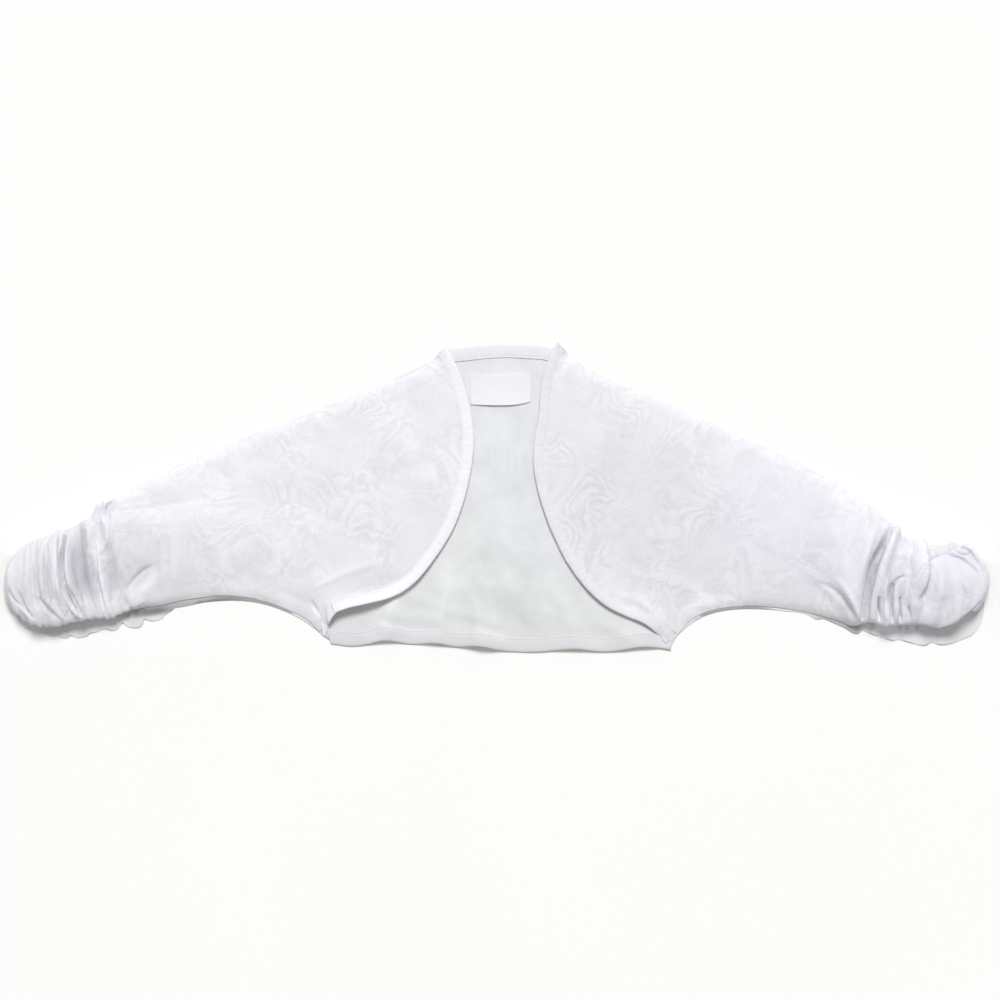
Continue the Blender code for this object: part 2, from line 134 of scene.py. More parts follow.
RIGHT_CREASES = (
    # The deep crease where the sleeve turns into its ruched end.
    Crease(392, -30, 373, -70, 362, -124, 1.8, -8.5),
    Crease(378, -56, 363, -88, 359, -120, 4.5, -2.2),
    Crease(401, -28, 381, -68, 369, -122, 3.2, 3.4, 0.5),
    # Fingers of cloth between slits at the underarm.
    Crease(377, -103, 377, -113, 378, -125, 1.3, -6.5),
    Crease(384, -84, 383, -100, 384, -122, 2.8, 2.8),
    Crease(402, -82, 391, -89, 388, -103, 1.8, -3.8),
    Crease(389, -90, 388, -106, 391, -126, 1.7, -6.0),
    Crease(394, -100, 394, -112, 395, -126, 2.2, 2.8),
    Crease(398, -104, 398, -115, 399, -126, 1.3, -5.5),
    Crease(406, -112, 407, -118, 409, -127, 1.3, -3.4),
    # The big roll, whose edge laps over the puff beyond it.
    Crease(404, -42, 421, -44, 424, -66, 3.6, 4.4, -0.75),
    Crease(424, -62, 426, -78, 419, -98, 3.2, 4.0, -0.8),
    Crease(428, -72, 426, -86, 422, -103, 1.7, -6.5),
    Crease(402, -58, 414, -66, 412, -94, 8.0, 3.0),
    Crease(404, -98, 412, -108, 421, -118, 6.0, 2.0),
    # The soft puffs at the end and the corner that is folded over.
    Crease(442, -58, 445, -84, 441, -114, 3.4, -1.8),
    Crease(451, -82, 453, -100, 448, -122, 4.0, 1.8),
    Crease(459, -92, 462, -104, 458, -122, 2.4, -1.8),
    Crease(434, -60, 437, -80, 434, -110, 4.0, 1.4),
    Crease(430, -66, 452, -60, 474, -78, 1.5, -4.2),
    Crease(452, -55, 468, -54, 479, -72, 2.4, 2.8, 0.4),
    Crease(455, -54, 461, -60, 470, -58, 1.3, -2.6),
    Crease(474, -66, 482, -78, 484, -94, 1.8, -2.0),
    Crease(478, -108, 470, -117, 458, -126, 1.7, -2.6),
    # The smooth sleeve, whose creases run to the start of the ruches.
    Crease(322, -88, 342, -104, 356, -129, 2.2, -2.8),
    Crease(336, -84, 350, -104, 360, -128, 2.8, 2.6),
    Crease(300, -74, 322, -88, 340, -112, 5.0, 1.4),
    Crease(330, -30, 342, -66, 350, -102, 6.0, 1.4),
    Crease(352, -20, 358, -50, 356, -84, 5.0, -1.3),
    Crease(372, -36, 366, -58, 360, -76, 4.0, 1.6),
    Crease(300, 10, 316, -30, 310, -70, 12.0, -1.2),
    Crease(262, -100, 256, -70, 262, -36, 9.0, 1.0),
    Crease(240, 10, 200, -20, 176, -66, 14.0, 1.0),
    Crease(212, -112, 186, -92, 150, -84, 7.0, 1.2),
    Crease(140, 60, 108, 14, 100, -40, 13.0, -0.8),
    Crease(118, -100, 142, -108, 160, -128, 4.0, 1.2),
)

BACK_CREASES = (
    Crease(-116, -142, -108, -110, -92, -84, 7.0, 1.5),
    Crease(-62, -146, -58, -116, -50, -92, 6.0, 1.3),
    Crease(-22, -148, -22, -120, -26, -100, 6.0, 1.2),
    Crease(78, -150, 70, -122, 58, -100, 7.0, 1.3),
    Crease(132, -150, 118, -136, 92, -126, 6.0, 1.0),
    Crease(-24, 84, -10, 10, -16, -70, 12.0, 0.6),
    Crease(18, 80, 24, 0, 40, -60, 12.0, -0.5),
    Crease(-26, 35, 4, 32, 34, 38, 4.5, -0.9),
    Crease(13, 63, 21, 61, 30, 59, 4.0, -0.9),
    Crease(-24, 54, -12, 51, 2, 55, 6.0, 0.8),
    Crease(-22, 84, 4, 80, 28, 84, 5.0, -0.5),
    Crease(-30, 8, 0, -4, 36, 2, 6.0, 0.6),
    Crease(-34, -20, -4, -26, 20, -18, 5.0, -0.6),
    Crease(-40, -44, 0, -54, 44, -46, 6.0, 0.8),
    Crease(-62, -72, -20, -66, 30, -78, 6.0, -0.8),
    Crease(-80, -98, -10, -92, 60, -102, 7.0, 0.7),
    # Soft folds where the hem's binding draws the cloth in.
    Crease(-121, -121, -99, -131, -60, -134, 2.6, -1.2),
    Crease(-118, -113, -92, -120, -56, -125, 3.5, 1.0),
    Crease(-34, -128, -12, -134, 6, -142, 2.4, -1.4),
    Crease(-58, -116, -28, -120, 4, -130, 4.0, 1.1),
    Crease(14, -118, 22, -126, 26, -136, 3.0, -1.0),
    Crease(44, -112, 58, -122, 84, -128, 4.0, 0.9),
    Crease(0, -88, -3, -104, 0, -120, 5.0, -1.2),
    Crease(12, -90, 14, -106, 12, -122, 4.0, 0.9),
    Crease(84, -96, 104, -110, 124, -124, 5.0, -0.9),
    Crease(-96, -96, -76, -106, -50, -108, 5.0, 0.8),
    # Small gathers at the right sleeve's underarm seam.
    Crease(371, -124, 371, -130, 370, -138, 1.3, -2.6),
    Crease(377, -124, 376, -131, 377, -139, 1.8, 1.8),
    Crease(383, -125, 382, -131, 383, -140, 1.3, -2.6),
    Crease(389, -125, 390, -132, 389, -140, 1.8, 1.6),
    Crease(395, -126, 396, -133, 397, -142, 1.3, -2.4),
    Crease(402, -127, 403, -134, 403, -143, 2.0, 1.6),
    Crease(410, -128, 411, -134, 413, -142, 1.4, -2.4),
    Crease(419, -128, 421, -134, 424, -142, 1.4, -2.2),
)

BACK_PULLS = (
    Pull(2, 150, 0, 1.4, 0, 60),
    Pull(-48, 148, 0, 1.6, 0, 14),
    Pull(51, 148, 0, 1.4, 0, 14),
    Pull(-14, -150, 0, 0, 3.6, 15),
)
LEFT_PULLS = (
    Pull(-352, -110, 0, 1.2, 0.8, 14),
    Pull(-318, -108, 0, 2.6, 0, 20),
    Pull(-284, -104, 0, 2.2, 0, 20),
    Pull(-30, 18, 0.5, -0.1, 0, 28),
    Pull(-37, -11, 1.7, -0.6, 0, 28),
    Pull(-50, -38, 2.5, -1.4, 0, 28),
    Pull(-67, -64, 1.2, -0.9, 0, 28),
    Pull(-88, -88, 2.5, -2.9, 0, 28),
    Pull(-113, -103, 0.8, -2.1, 0, 28),
    Pull(-402, -15, -1.5, 5.0, 4.0, 5),
    Pull(-396, -10, -0.5, 4.5, 4.0, 6),
    Pull(-387, -6, 1, 2.6, 3.0, 6),
    Pull(-407, -26, 0, -1.5, -1.0, 5),
    Pull(-441, -38, 0, 2.0, 1.5, 5),
    Pull(-418, -29, 0, 1.6, 1.5, 5),
)
RIGHT_PULLS = (
    Pull(37, 78, 1.8, 0, 0, 16),
    Pull(35, 34, -0.9, 0, 0, 24),
    Pull(68, -66, -1.7, -1.0, 0, 26),
    Pull(86, -90, -2.1, -2.0, 0, 26),
    Pull(108, -110, -1.4, -2.1, 0, 26),
    Pull(131, -122, -0.6, -1.5, 0, 12),
    Pull(466, -54, 3, 4.0, 4.0, 7),
    Pull(398, -36, 1, 2.0, 2.0, 6),
)

# Painted shade and painted light on the left front. The patches at -434, -418, -406 and (-440, -112) paint
# shade into the slit, the valleys and the lower band. Those at -396, (-440, -74), -460, -371 and -354 paint
# light onto ridges and onto the roll's underside, which the light misses. The broad ones make whole stretches
# a little darker or lighter.
LEFT_PATCHES = (
    Patch(-396, -88, 4.5, 34, 12, 0.1, 0.0),
    Patch(-405, -36, 9, 14, 0, -0.05, 0.1),
    Patch(-434, -56, 1.4, 18, 0, -0.25, 0.1),
    Patch(-366, -60, 30, 48, 18, -0.09, 0.3),
    Patch(-445, -80, 62, 66, 0, -0.11, 0.1),
    Patch(-418, -68, 11, 30, 6, -0.12, 0.4),
    Patch(-406, -86, 7, 20, 12, -0.09, 0.3),
    Patch(-440, -74, 4, 26, 0, 0.1, 0.0),
    Patch(-460, -106, 7, 10, 20, 0.08, 0.0),
    Patch(-440, -112, 16, 7, -20, -0.05, 0.0),
    Patch(-354, -101, 16, 12, 20, 0.14, 0.0),
    Patch(-371, -84, 7, 12, 0, 0.05, 0.0),
    Patch(-388, -80, 5, 26, -8, -0.02, 0.3),
    Patch(-150, -84, 60, 20, 20, -0.03, 0.1),
    Patch(-75, 70, 60, 60, 0, 0.02, 0.1),
    Patch(-240, -50, 60, 45, 20, 0.02, 0.0),
)
# Painted shade: the narrow patches at (375, -62) and (364, -100) darken the deep crease. The broad ones make
# the cuff and the front's middle a little darker and cooler.
RIGHT_PATCHES = (
    Patch(140, -20, 92, 74, -20, -0.065, -0.1),
    Patch(285, -30, 90, 60, -25, -0.01, 0.6),
    Patch(345, -80, 40, 50, -20, -0.02, 0.2),
    Patch(425, -85, 60, 62, 0, -0.085, 0.7),
    Patch(392, -80, 10, 40, 10, -0.04, -0.3),
    Patch(375, -62, 4.5, 26, -24, -0.1, 0.0),
    Patch(364, -100, 4.5, 26, -8, -0.1, 0.0),
    Patch(75, 80, 50, 60, 0, 0.01, 0.1),
)
# Painted shadow and painted light on the back. The dark bands at -414, -318, -352 and 340 stand in for the
# shadows under the sleeves' raised edges. The small dark spots from 374 to 418 are painted shade between the
# small gathers, and the light band at 396 is painted light on those gathers. The thin dark ones at (22, 62)
# and (2, 34) are painted shade in the back's soft troughs. The band at (2, 129) is the lighter facing under
# the neck binding, and the rest make stretches a little darker or lighter.
BACK_PATCHES = (
    Patch(10, -125, 170, 30, 0, -0.05, -0.2),
    Patch(2, 70, 110, 52, 0, 0.04, 0.2),
    Patch(40, -110, 60, 26, 0, -0.04, 0.0),
    Patch(-50, -60, 24, 30, 30, 0.02, -0.2),
    Patch(20, -96, 10, 24, 0, -0.03, 0.0),
    Patch(-8, -104, 5, 22, 0, 0.02, 0.0),
    Patch(-12, -78, 12, 5, 0, -0.02, -0.2),
    Patch(22, 62, 9, 5, 0, -0.035, -0.1),
    Patch(2, 34, 40, 4.5, 0, -0.035, -0.1),
    Patch(2, 129, 60, 9, 0, 0.045, 0.4),
    Patch(-414, -131, 58, 8, 7, -0.08, -0.3),
    Patch(442, -140, 36, 8, -4, -0.03, 0.0),
    Patch(396, -132, 26, 7, -4, 0.15, 0.3),
    Patch(374, -130, 2.5, 4, 0, -0.25, 0.2),
    Patch(401, -131, 2, 4, 0, -0.3, 0.2),
    Patch(408, -132, 2, 3.5, 0, -0.25, 0.2),
    Patch(418, -133, 2, 3, 0, -0.25, 0.2),
    Patch(-318, -111, 60, 6, 8, -0.42, -0.5),
    Patch(-352, -118, 20, 4, 10, -0.3, -0.3),
    Patch(340, -128, 30, 8, -23, -0.42, -0.3),
)

# The under layer's uneven edge at each sleeve end, from the underarm round to the mouth, in
# millimetres.
LEFT_FRILL = (
    (-324, -117), (-334, -119.3), (-337, -123.6), (-342, -125.7), (-348, -126.4), (-352.6, -125),
    (-355.4, -124), (-357, -128.6), (-359, -132), (-364.7, -133.6), (-370.4, -132.4), (-374.7, -130),
    (-376.9, -127.1), (-379.7, -131.4), (-382.6, -134.7), (-386.9, -135.7), (-390.4, -134.8),
    (-393.3, -134), (-397.6, -135), (-403.3, -137.4), (-409.7, -138), (-412.6, -141.1),
    (-417.6, -142.9), (-422.6, -143.1), (-426.1, -141.1), (-430.1, -140.3), (-431.6, -142.6),
    (-434.5, -143.6), (-438.3, -143.1), (-442, -141.4), (-450.4, -140.7), (-464.7, -137.1),
    (-474.7, -132.9), (-480.4, -127.9), (-483.6, -122.9), (-485.6, -117),
)
RIGHT_FRILL = (
    (316.6, -122.6), (325, -124), (337, -129.4), (347, -134), (354, -138), (359, -138.8),
    (363.5, -135.4), (369, -137.5), (377, -140.5), (388, -144), (393, -145.6), (400, -144.8),
    (410, -147.3), (418, -150), (424, -150.8), (429, -149.5), (432.5, -147.3), (438, -149.5),
    (443, -150), (455, -148.2), (463, -145), (472, -141.4), (478, -136), (482, -129.4),
    (484.4, -121), (486, -110.7), (487, -103),
)
# How far in from that edge the cloth follows it, how far from its ends it is as cut, how much
# of its height it loses at the edge, and how near to the middle any cloth is moved.
FRILL_REACH = 30 * MM
FRILL_ENDS = 8 * MM
FRILL_DROP = 0.55
FRILL_FROM = 0.29

# The cloth below this line is at the underarm.
UNDERARM = -0.085
LEFT_ALLOWANCE = Allowance(-224, -176, 15, 0.055)
RIGHT_ALLOWANCE = Allowance(178, 242, 15, 0.06)
# How much lighter the cloth is painted for each millimetre that a crease raises it, and how much darker
# for each that it lowers it: painted light on the ridges and painted shade in the valleys and slits.
FOLD_PAINTED_SHADE = 0.021
# What a patch that is cooler by 1 adds to the red, green and blue.
VIOLET_CAST = (-0.008, -0.012, 0.03)

# The underarm seam where each sleeve is ruched, as distances from the middle, in metres.
LEFT_SEAM = (
    (0.325, 0.362, 0.383, 0.396, 0.409, 0.424, 0.440, 0.457, 0.472, 0.483),
    (-0.110, -0.115, -0.121, -0.123, -0.124, -0.127, -0.131, -0.131, -0.127, -0.119),
)
RIGHT_SEAM = (
    (0.310, 0.344, 0.355, 0.370, 0.384, 0.401, 0.421, 0.438, 0.453, 0.470),
    (-0.118, -0.127, -0.132, -0.128, -0.131, -0.129, -0.129, -0.133, -0.128, -0.118),
)
# The small pleats at the seams reach this far along the right sleeve, whose end is smooth.
RIGHT_PLEATS_TO = 0.4
# The ruched end puffs out over its underarm seam, as a tube does, and less and less so over
# the last stretch to its mouth.
PUFF_FROM = 0.345
PUFF_FULL = 0.385
PUFF_REACH = 27 * MM
PUFF_BULGE = 9.5 * MM
PUFF_INSET = 3 * MM
PUFF_LIFT = 3 * MM
MOUTH = 0.487
MOUTH_REACH = 0.02
# The solid's own large folds are smoothed away there, so that the creases can take their place.
SMOOTHING_ROUNDS = 60
SMOOTHING_SHARE = 0.8
SMOOTHING_RIM = 12 * MM

# How far in from a panel's edge its creases and its unevenness are at their full height, what
# share of a crease is left at the edge, and how uneven the back is against the fronts.
BACK_CREASE_RIM = 6 * MM
BACK_CREASE_LEFT = 0.2
BACK_RIPPLE_RIM = 12 * MM
BACK_RIPPLE = 1.3
FRONT_CREASE_RIM = 4 * MM
FRONT_CREASE_LEFT = 0.25
FRONT_RIPPLE_RIM = 14 * MM
# A crease is cut off this many of its widths away.
CREASE_REACH = 3.2

# The pleats at the gathered seams: their width, how fast they die out, and how far in from
# the seam they are at their full height. The small wrinkles between them reach theirs later.
PLEAT_WIDTH = 7.5e-3
PLEAT_REACH = 17 * MM
PLEAT_RIM = 3 * MM
WRINKLE_RIM = 9 * MM
WRINKLE = 0.3

# A front's edge is sewn down where it is lower than this over the back and no strip is near.
# The cloth round it comes down too, the further the more it sinks.
SEWN_BELOW = 7 * MM
SEWN_FROM_STRIP = 2 * MM
SEWN_REACH = 5 * MM
SEWN_SPREAD = 3
SEWN_CLOTH_BELOW = 9 * MM

# A folded bias strip's section: distance in from the cloth's edge, and height over the cloth,
# both in millimetres. It runs from the inner edge over the top, round the fold, along the
# underside and back between the layers.
STRIP_TOP = (
    (10.6, 0.02), (10.6, 0.30), (10.3, 0.50), (9.7, 0.48), (9.2, 0.26), (8.7, 0.46), (7.6, 0.62),
    (5.6, 0.68), (3.4, 0.66), (1.6, 0.58), (0.4, 0.36), (-0.4, 0.0), (-0.8, -0.45), (-0.6, -0.85),
    (0.2, -1.10), (2.0, -1.15), (5.5, -1.15), (9.6, -1.10), (9.9, -0.85), (9.6, -0.58),
    (5.5, -0.56), (1.0, -0.56), (0.0, -0.40), (-0.2, -0.20), (0.1, 0.0), (1.6, 0.02), (5.6, 0.02),
)
STITCH_LINE = 9.2
# A strip's width before it is folded.
# The left front's strip is painted lighter and the right front's darker, as the light falls on them.
STRIPS = (
    Strip(
        "front_binding_left", "front_panel_left", (-200, 50), 0.95, 0.0,
        ((-165.5, -117.8, -0.1), (-55.0, 149.4, -0.45)), 1.07, 1.0,
    ),
    Strip(
        "front_binding_right", "front_panel_right", (200, 50), 0.88, 0.0,
        ((167.5, -148.6, -0.6), (58.7, 153.4, -0.45)), 0.955, 2.0,
    ),
    Strip(
        "neck_binding", "back_panel", (0, 0), 1.3, 0.5,
        ((-52.0, 146.8, 0), (56.0, 147.4, 0)), 0.985, 3.0,
    ),
    Strip(
        "hem_binding", "back_panel", (0, 100), 1.22, 0.3,
        ((-168.5, -148.3, 0.6), (171.5, -154.0, 0.0)), 0.84, 4.0,
    ),
)
STRIP_STEP = 1.3 * MM
# How near to its solid a strip's edge of cloth is, and how far from its ends it gets thinner.
STRIP_NEAR = 2.6 * MM
STRIP_THIN = 6 * MM
# How far from its ends a strip's line is straight, and how long its slanted ends are.
STRIP_CLEAR = 12 * MM
STRIP_SLANT = 18 * MM
# The steps in which the cloth's edge is read, and how often that line is smoothed.
EDGE_STEP = 3 * MM
EDGE_ROUNDS = 4
# How far outside the edge there is no cloth, and how far a strip may sink or rise with it.
STRIP_PROBE = 4 * MM
STRIP_SINKS = 2 * MM
STRIP_RISES = 4 * MM
# How far in from the edge a strip starts to stand off, and over what stretch, in millimetres.
STAND_FROM = 6
STAND_OVER = 4
# Above this, whatever lies further out than a strip's end is the shoulder seam.
SHOULDER = 0.1

# A stitch is a spindle of thread: how far along it each ring lies, and its size.
SPINDLE = ((0.0, 0.25), (0.22, 1.0), (0.78, 1.0), (1.0, 0.25))
SPINDLE_SIDES = 6

# The label: its middle, its top edge, half its width and its height, then how far its free
# edge lies below its solid's, how far that edge sags and bulges, and how far its right-hand
# corner is turned up.
LABEL_MIDDLE = 0.001
LABEL_TOP = 0.121
LABEL_HALF = 0.030
LABEL_HEIGHT = 0.030
LABEL_DROP = 1.3 * MM
LABEL_SAG = 0.9 * MM
LABEL_BULGE = 0.5 * MM
LABEL_CORNER = 3 * MM

# Where the panels' meshes are made finer: edges longer than the coarse ones, the under layer
# at the sleeve ends, the fronts' ruches, but for edges that are short already, and where the
# seam allowances show.
BACK_COARSE_EDGE = 6 * MM
FRONT_COARSE_EDGE = 5 * MM
FRILL_FINE_FROM = 0.33
FRILL_FINE_BELOW = -0.09
RUCHES_FINE_FROM = 0.35
FINE_EDGE = 1.05 * MM
ALLOWANCE_FINE = (0.17, 0.245)
ALLOWANCE_HALVINGS = 2

TABLE_SIZE = 8.0
WINDOW_PLACE = (0.05, 1.5, 1.95)
WINDOW_ANGLE = math.radians(22)
WINDOW_ENERGY = 2.45
WINDOW_COLOUR = (0.992, 0.995, 1.0)
ROOM_COLOUR = (0.99, 0.985, 0.955, 1)
ROOM_STRENGTH = 0.43
# The camera is almost straight above. VIEW_WIDTH is how much of the table its picture shows.
CAMERA_DISTANCE = 2.6
CAMERA_TILT = math.radians(88)
CAMERA_AIM = Vector((0.0006, -0.005, 0.0))
CAMERA_SENSOR = 36
VIEW_WIDTH = 1.003


class BoleroSettings(bpy.types.PropertyGroup):
    """The sizes and colours that a user would change."""

    cloth: bpy.props.FloatProperty(
        name="Cloth", description="Thickness of one layer of chiffon", default=0.45 * MM, unit="LENGTH"
    )
    crease_depth: bpy.props.FloatProperty(
        name="Crease depth", description="Share of the creases' own height", default=1.0, min=0, max=2
    )
    ripple: bpy.props.FloatProperty(
        name="Ripple", description="Height of the cloth's soft unevenness", default=0.5 * MM, unit="LENGTH"
    )
    gather: bpy.props.FloatProperty(
        name="Gather",
        description="Height of the small pleats at the gathered seams",
        default=1.3 * MM,
        unit="LENGTH",
    )
    stitch: bpy.props.FloatProperty(
        name="Stitch", description="Length of a stitch", default=2.3 * MM, unit="LENGTH"
    )
    stitch_gap: bpy.props.FloatProperty(
        name="Stitch gap", description="Space between two stitches", default=0.7 * MM, unit="LENGTH"
    )
    thread: bpy.props.FloatProperty(
        name="Thread", description="Radius of the sewing thread", default=0.16 * MM, unit="LENGTH"
    )
    front_colour: bpy.props.FloatVectorProperty(
        name="Fronts", description="White of the double cloth", default=(0.805, 0.799, 0.845), subtype="COLOR"
    )
    back_colour: bpy.props.FloatVectorProperty(
        name="Back", description="White of the single cloth", default=(0.76, 0.768, 0.785), subtype="COLOR"
    )
    binding_colour: bpy.props.FloatVectorProperty(
        name="Bindings",
        description="White of the folded strips",
        default=(0.845, 0.835, 0.875),
        subtype="COLOR",
    )
    label_colour: bpy.props.FloatVectorProperty(
        name="Label", description="White of the woven label", default=(0.85, 0.85, 0.895), subtype="COLOR"
    )
    thread_colour: bpy.props.FloatVectorProperty(
        name="Thread colour",
        description="White of the sewing thread",
        default=(0.83, 0.82, 0.85),
        subtype="COLOR",
    )
    table_colour: bpy.props.FloatVectorProperty(
        name="Table", description="White of the table", default=(0.945, 0.95, 0.945), subtype="COLOR"
    )


def settings():
    return bpy.context.scene.bolero


def node_tools(material):
    """Ways to add a node to a material with its inputs set, and to link two sockets."""
    tree = material.node_tree

    def add(kind, inputs=(), **attributes):
        node = tree.nodes.new(kind)
        for key, value in attributes.items():
            setattr(node, key, value)
        for key, value in dict(inputs).items():
            if isinstance(value, bpy.types.NodeSocket):
                tree.links.new(value, node.inputs[key])
            else:
                node.inputs[key].default_value = value
        return node

    return add, tree.links.new


def new_material(name, roughness, sheen=0.0):
    material = bpy.data.materials.new(name)
    material.use_nodes = True
    shader = material.node_tree.nodes["Principled BSDF"]
    shader.inputs["Roughness"].default_value = roughness
    shader.inputs["Sheen Weight"].default_value = sheen
    shader.inputs["Sheen Roughness"].default_value = 0.5
    shader.inputs["Specular IOR Level"].default_value = 0.2
    return material, shader


def watered_lines(add, place, scale, turns, warp):
    """Fine lines like wood grain, from -1 to 1, as two sheer layers show where they lie on each other."""
    swirl = add(
        "ShaderNodeTexNoise",
        {"Vector": place, "Scale": scale, "Detail": 3.0, "Roughness": 0.42, "Distortion": warp},
    )
    angle = add("ShaderNodeMath", {0: swirl.outputs["Fac"], 1: turns}, operation="MULTIPLY")
    return add("ShaderNodeMath", {0: angle.outputs[0]}, operation="SINE").outputs[0]


def chiffon_material(name, colour, watered, mottled):
    """Sheer plain-weave cloth, which looks lighter or darker with the layers that lie under it, and carries
    painted shade and painted light in its vertex colours.
    """
    material, shader = new_material(name, 0.75, 0.1)
    add, link = node_tools(material)
    place = add("ShaderNodeTexCoord").outputs["Object"]

    cloudy = add("ShaderNodeTexNoise", {"Vector": place, "Scale": 24.0, "Detail": 4.0, "Roughness": 0.6})
    tone = add(
        "ShaderNodeMapRange",
        {
            "Value": cloudy.outputs["Fac"],
            "From Min": 0.3,
            "From Max": 0.7,
            "To Min": 1 - mottled,
            "To Max": 1 + mottled,
        },
    ).outputs["Result"]
    if watered:
        fading = add("ShaderNodeTexNoise", {"Vector": place, "Scale": 17.0, "Detail": 2.0})
        strength = add(
            "ShaderNodeMapRange",
            {
                "Value": fading.outputs["Fac"],
                "From Min": 0.38,
                "From Max": 0.6,
                "To Min": 0.15,
                "To Max": 1.0,
            },
        ).outputs["Result"]
        broad = watered_lines(add, place, 19.0, 62.0, 0.7)
        fine = watered_lines(add, place, 34.0, 70.0, 0.4)
        both = add("ShaderNodeMath", {0: fine, 1: 0.6, 2: broad}, operation="MULTIPLY_ADD").outputs[0]
        lines = add("ShaderNodeMath", {0: both, 1: strength}, operation="MULTIPLY").outputs[0]
        tone = add("ShaderNodeMath", {0: lines, 1: watered, 2: tone}, operation="MULTIPLY_ADD").outputs[0]
    # The vertex colours hold the layers' tone and the painted shade and painted light.
    layer_tone_and_shade = add("ShaderNodeAttribute", attribute_name="layer_tone_and_shade").outputs["Color"]
    toned = add("ShaderNodeVectorMath", {0: layer_tone_and_shade}, operation="SCALE")
    link(tone, toned.inputs["Scale"])
    tinted = add("ShaderNodeVectorMath", {0: toned.outputs["Vector"], 1: colour}, operation="MULTIPLY")
    link(tinted.outputs["Vector"], shader.inputs["Base Color"])

    warp = add("ShaderNodeTexWave", {"Vector": place, "Scale": 620.0, "Distortion": 1.5}, bands_direction="X")
    weft = add("ShaderNodeTexWave", {"Vector": place, "Scale": 620.0, "Distortion": 1.5}, bands_direction="Y")
    weave = add("ShaderNodeMath", {0: warp.outputs["Fac"], 1: weft.outputs["Fac"]}, operation="MULTIPLY")
    crumple = add("ShaderNodeTexNoise", {"Vector": place, "Scale": 150.0, "Detail": 4.0, "Roughness": 0.6})
    fine_bump = add("ShaderNodeBump", {"Height": weave.outputs[0], "Strength": 0.12, "Distance": 0.1 * MM})
    bump = add(
        "ShaderNodeBump",
        {
            "Height": crumple.outputs["Fac"],
            "Strength": 0.3,
            "Distance": 0.7 * MM,
            "Normal": fine_bump.outputs["Normal"],
        },
    )
    link(bump.outputs["Normal"], shader.inputs["Normal"])
    return material


def patchy_colour(add, place, scale, colour, spread):
    """A colour that varies a little from spot to spot."""
    patchy = add("ShaderNodeTexNoise", {"Vector": place, "Scale": scale, "Detail": 3.0})
    ramp = add("ShaderNodeValToRGB", {"Fac": patchy.outputs["Fac"]})
    ramp.color_ramp.elements[0].position = 0.3
    ramp.color_ramp.elements[0].color = (*((1 - spread) * part for part in colour), 1)
    ramp.color_ramp.elements[1].position = 0.7
    ramp.color_ramp.elements[1].color = (*(min(1.0, (1 + spread) * part) for part in colour), 1)
    return ramp.outputs["Color"]


def binding_material(tone):
    """Folded bias strips: four layers of the same chiffon, so denser and whiter, and a little puckered."""
    material, shader = new_material("bias_binding", 0.7, 0.1)
    add, link = node_tools(material)
    place = add("ShaderNodeTexCoord").outputs["Object"]
    # The strip's tone is partly painted light: the left front's strip is painted lighter than the right's.
    colour = [tone * part for part in settings().binding_colour]
    link(patchy_colour(add, place, 75.0, colour, 0.02), shader.inputs["Base Color"])
    pucker = add("ShaderNodeTexNoise", {"Vector": place, "Scale": 240.0, "Detail": 3.0})
    bias = add("ShaderNodeMapping", {"Vector": place, "Rotation": (0, 0, math.radians(45))})
    warp = add("ShaderNodeTexWave", {"Vector": bias.outputs["Vector"], "Scale": 620.0, "Distortion": 1.0})
    fine = add("ShaderNodeBump", {"Height": warp.outputs["Fac"], "Strength": 0.15, "Distance": 0.1 * MM})
    bump = add(
        "ShaderNodeBump",
        {
            "Height": pucker.outputs["Fac"],
            "Strength": 0.3,
            "Distance": 0.5 * MM,
            "Normal": fine.outputs["Normal"],
        },
    )
    link(bump.outputs["Normal"], shader.inputs["Normal"])
    return material


def label_material():
    """Close woven satin, with ribs along its length."""
    material, shader = new_material("label_satin", 0.45, 0.1)
    add, link = node_tools(material)
    place = add("ShaderNodeTexCoord").outputs["Object"]
    link(patchy_colour(add, place, 90.0, settings().label_colour, 0.012), shader.inputs["Base Color"])
    ribs = add("ShaderNodeTexWave", {"Vector": place, "Scale": 420.0, "Distortion": 0.6}, bands_direction="Y")
    bump = add("ShaderNodeBump", {"Height": ribs.outputs["Fac"], "Strength": 0.3, "Distance": 0.12 * MM})
    link(bump.outputs["Normal"], shader.inputs["Normal"])
    return material


def thread_material():
    """Spun polyester thread with its twist."""
    material, shader = new_material("sewing_thread", 0.55, 0.2)
    add, link = node_tools(material)
    place = add("ShaderNodeTexCoord").outputs["Object"]
    twist = add("ShaderNodeTexWave", {"Vector": place, "Scale": 900.0}, bands_direction="DIAGONAL")
    ramp = add("ShaderNodeValToRGB", {"Fac": twist.outputs["Fac"]})
    colour = settings().thread_colour
    ramp.color_ramp.elements[0].color = (*(0.9 * part for part in colour), 1)
    ramp.color_ramp.elements[1].color = (*colour, 1)
    link(ramp.outputs["Color"], shader.inputs["Base Color"])
    return material


def table_material():
    """A plain white table top, a little uneven in tone."""
    material, shader = new_material("white_table", 0.6)
    add, link = node_tools(material)
    place = add("ShaderNodeTexCoord").outputs["Object"]
    link(patchy_colour(add, place, 2.5, settings().table_colour, 0.004), shader.inputs["Base Color"])
    return material


def only(piece):
    """Selects one object and makes it active."""
    bpy.ops.object.select_all(action="DESELECT")
    piece.select_set(True)
    bpy.context.view_layer.objects.active = piece


def add_object(name, mesh):
    piece = bpy.data.objects.new(name, mesh)
    bpy.context.scene.collection.objects.link(piece)
    return piece


def edit_all(piece, *actions):
    """Runs edit-mode operators on the whole of a mesh."""
    only(piece)
    bpy.ops.object.mode_set(mode="EDIT")
    bpy.ops.mesh.select_all(action="SELECT")
    for action, values in actions:
        action(**values)
    bpy.ops.object.mode_set(mode="OBJECT")


def copy_of(node, name):
    """A new object with a CAD node's own triangles, joined where they meet."""
    piece = add_object(name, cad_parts[node].data.copy())
    piece.data.name = name
    piece.data.materials.clear()
    edit_all(piece, (bpy.ops.mesh.remove_doubles, {"threshold": WELD}))
    return piece


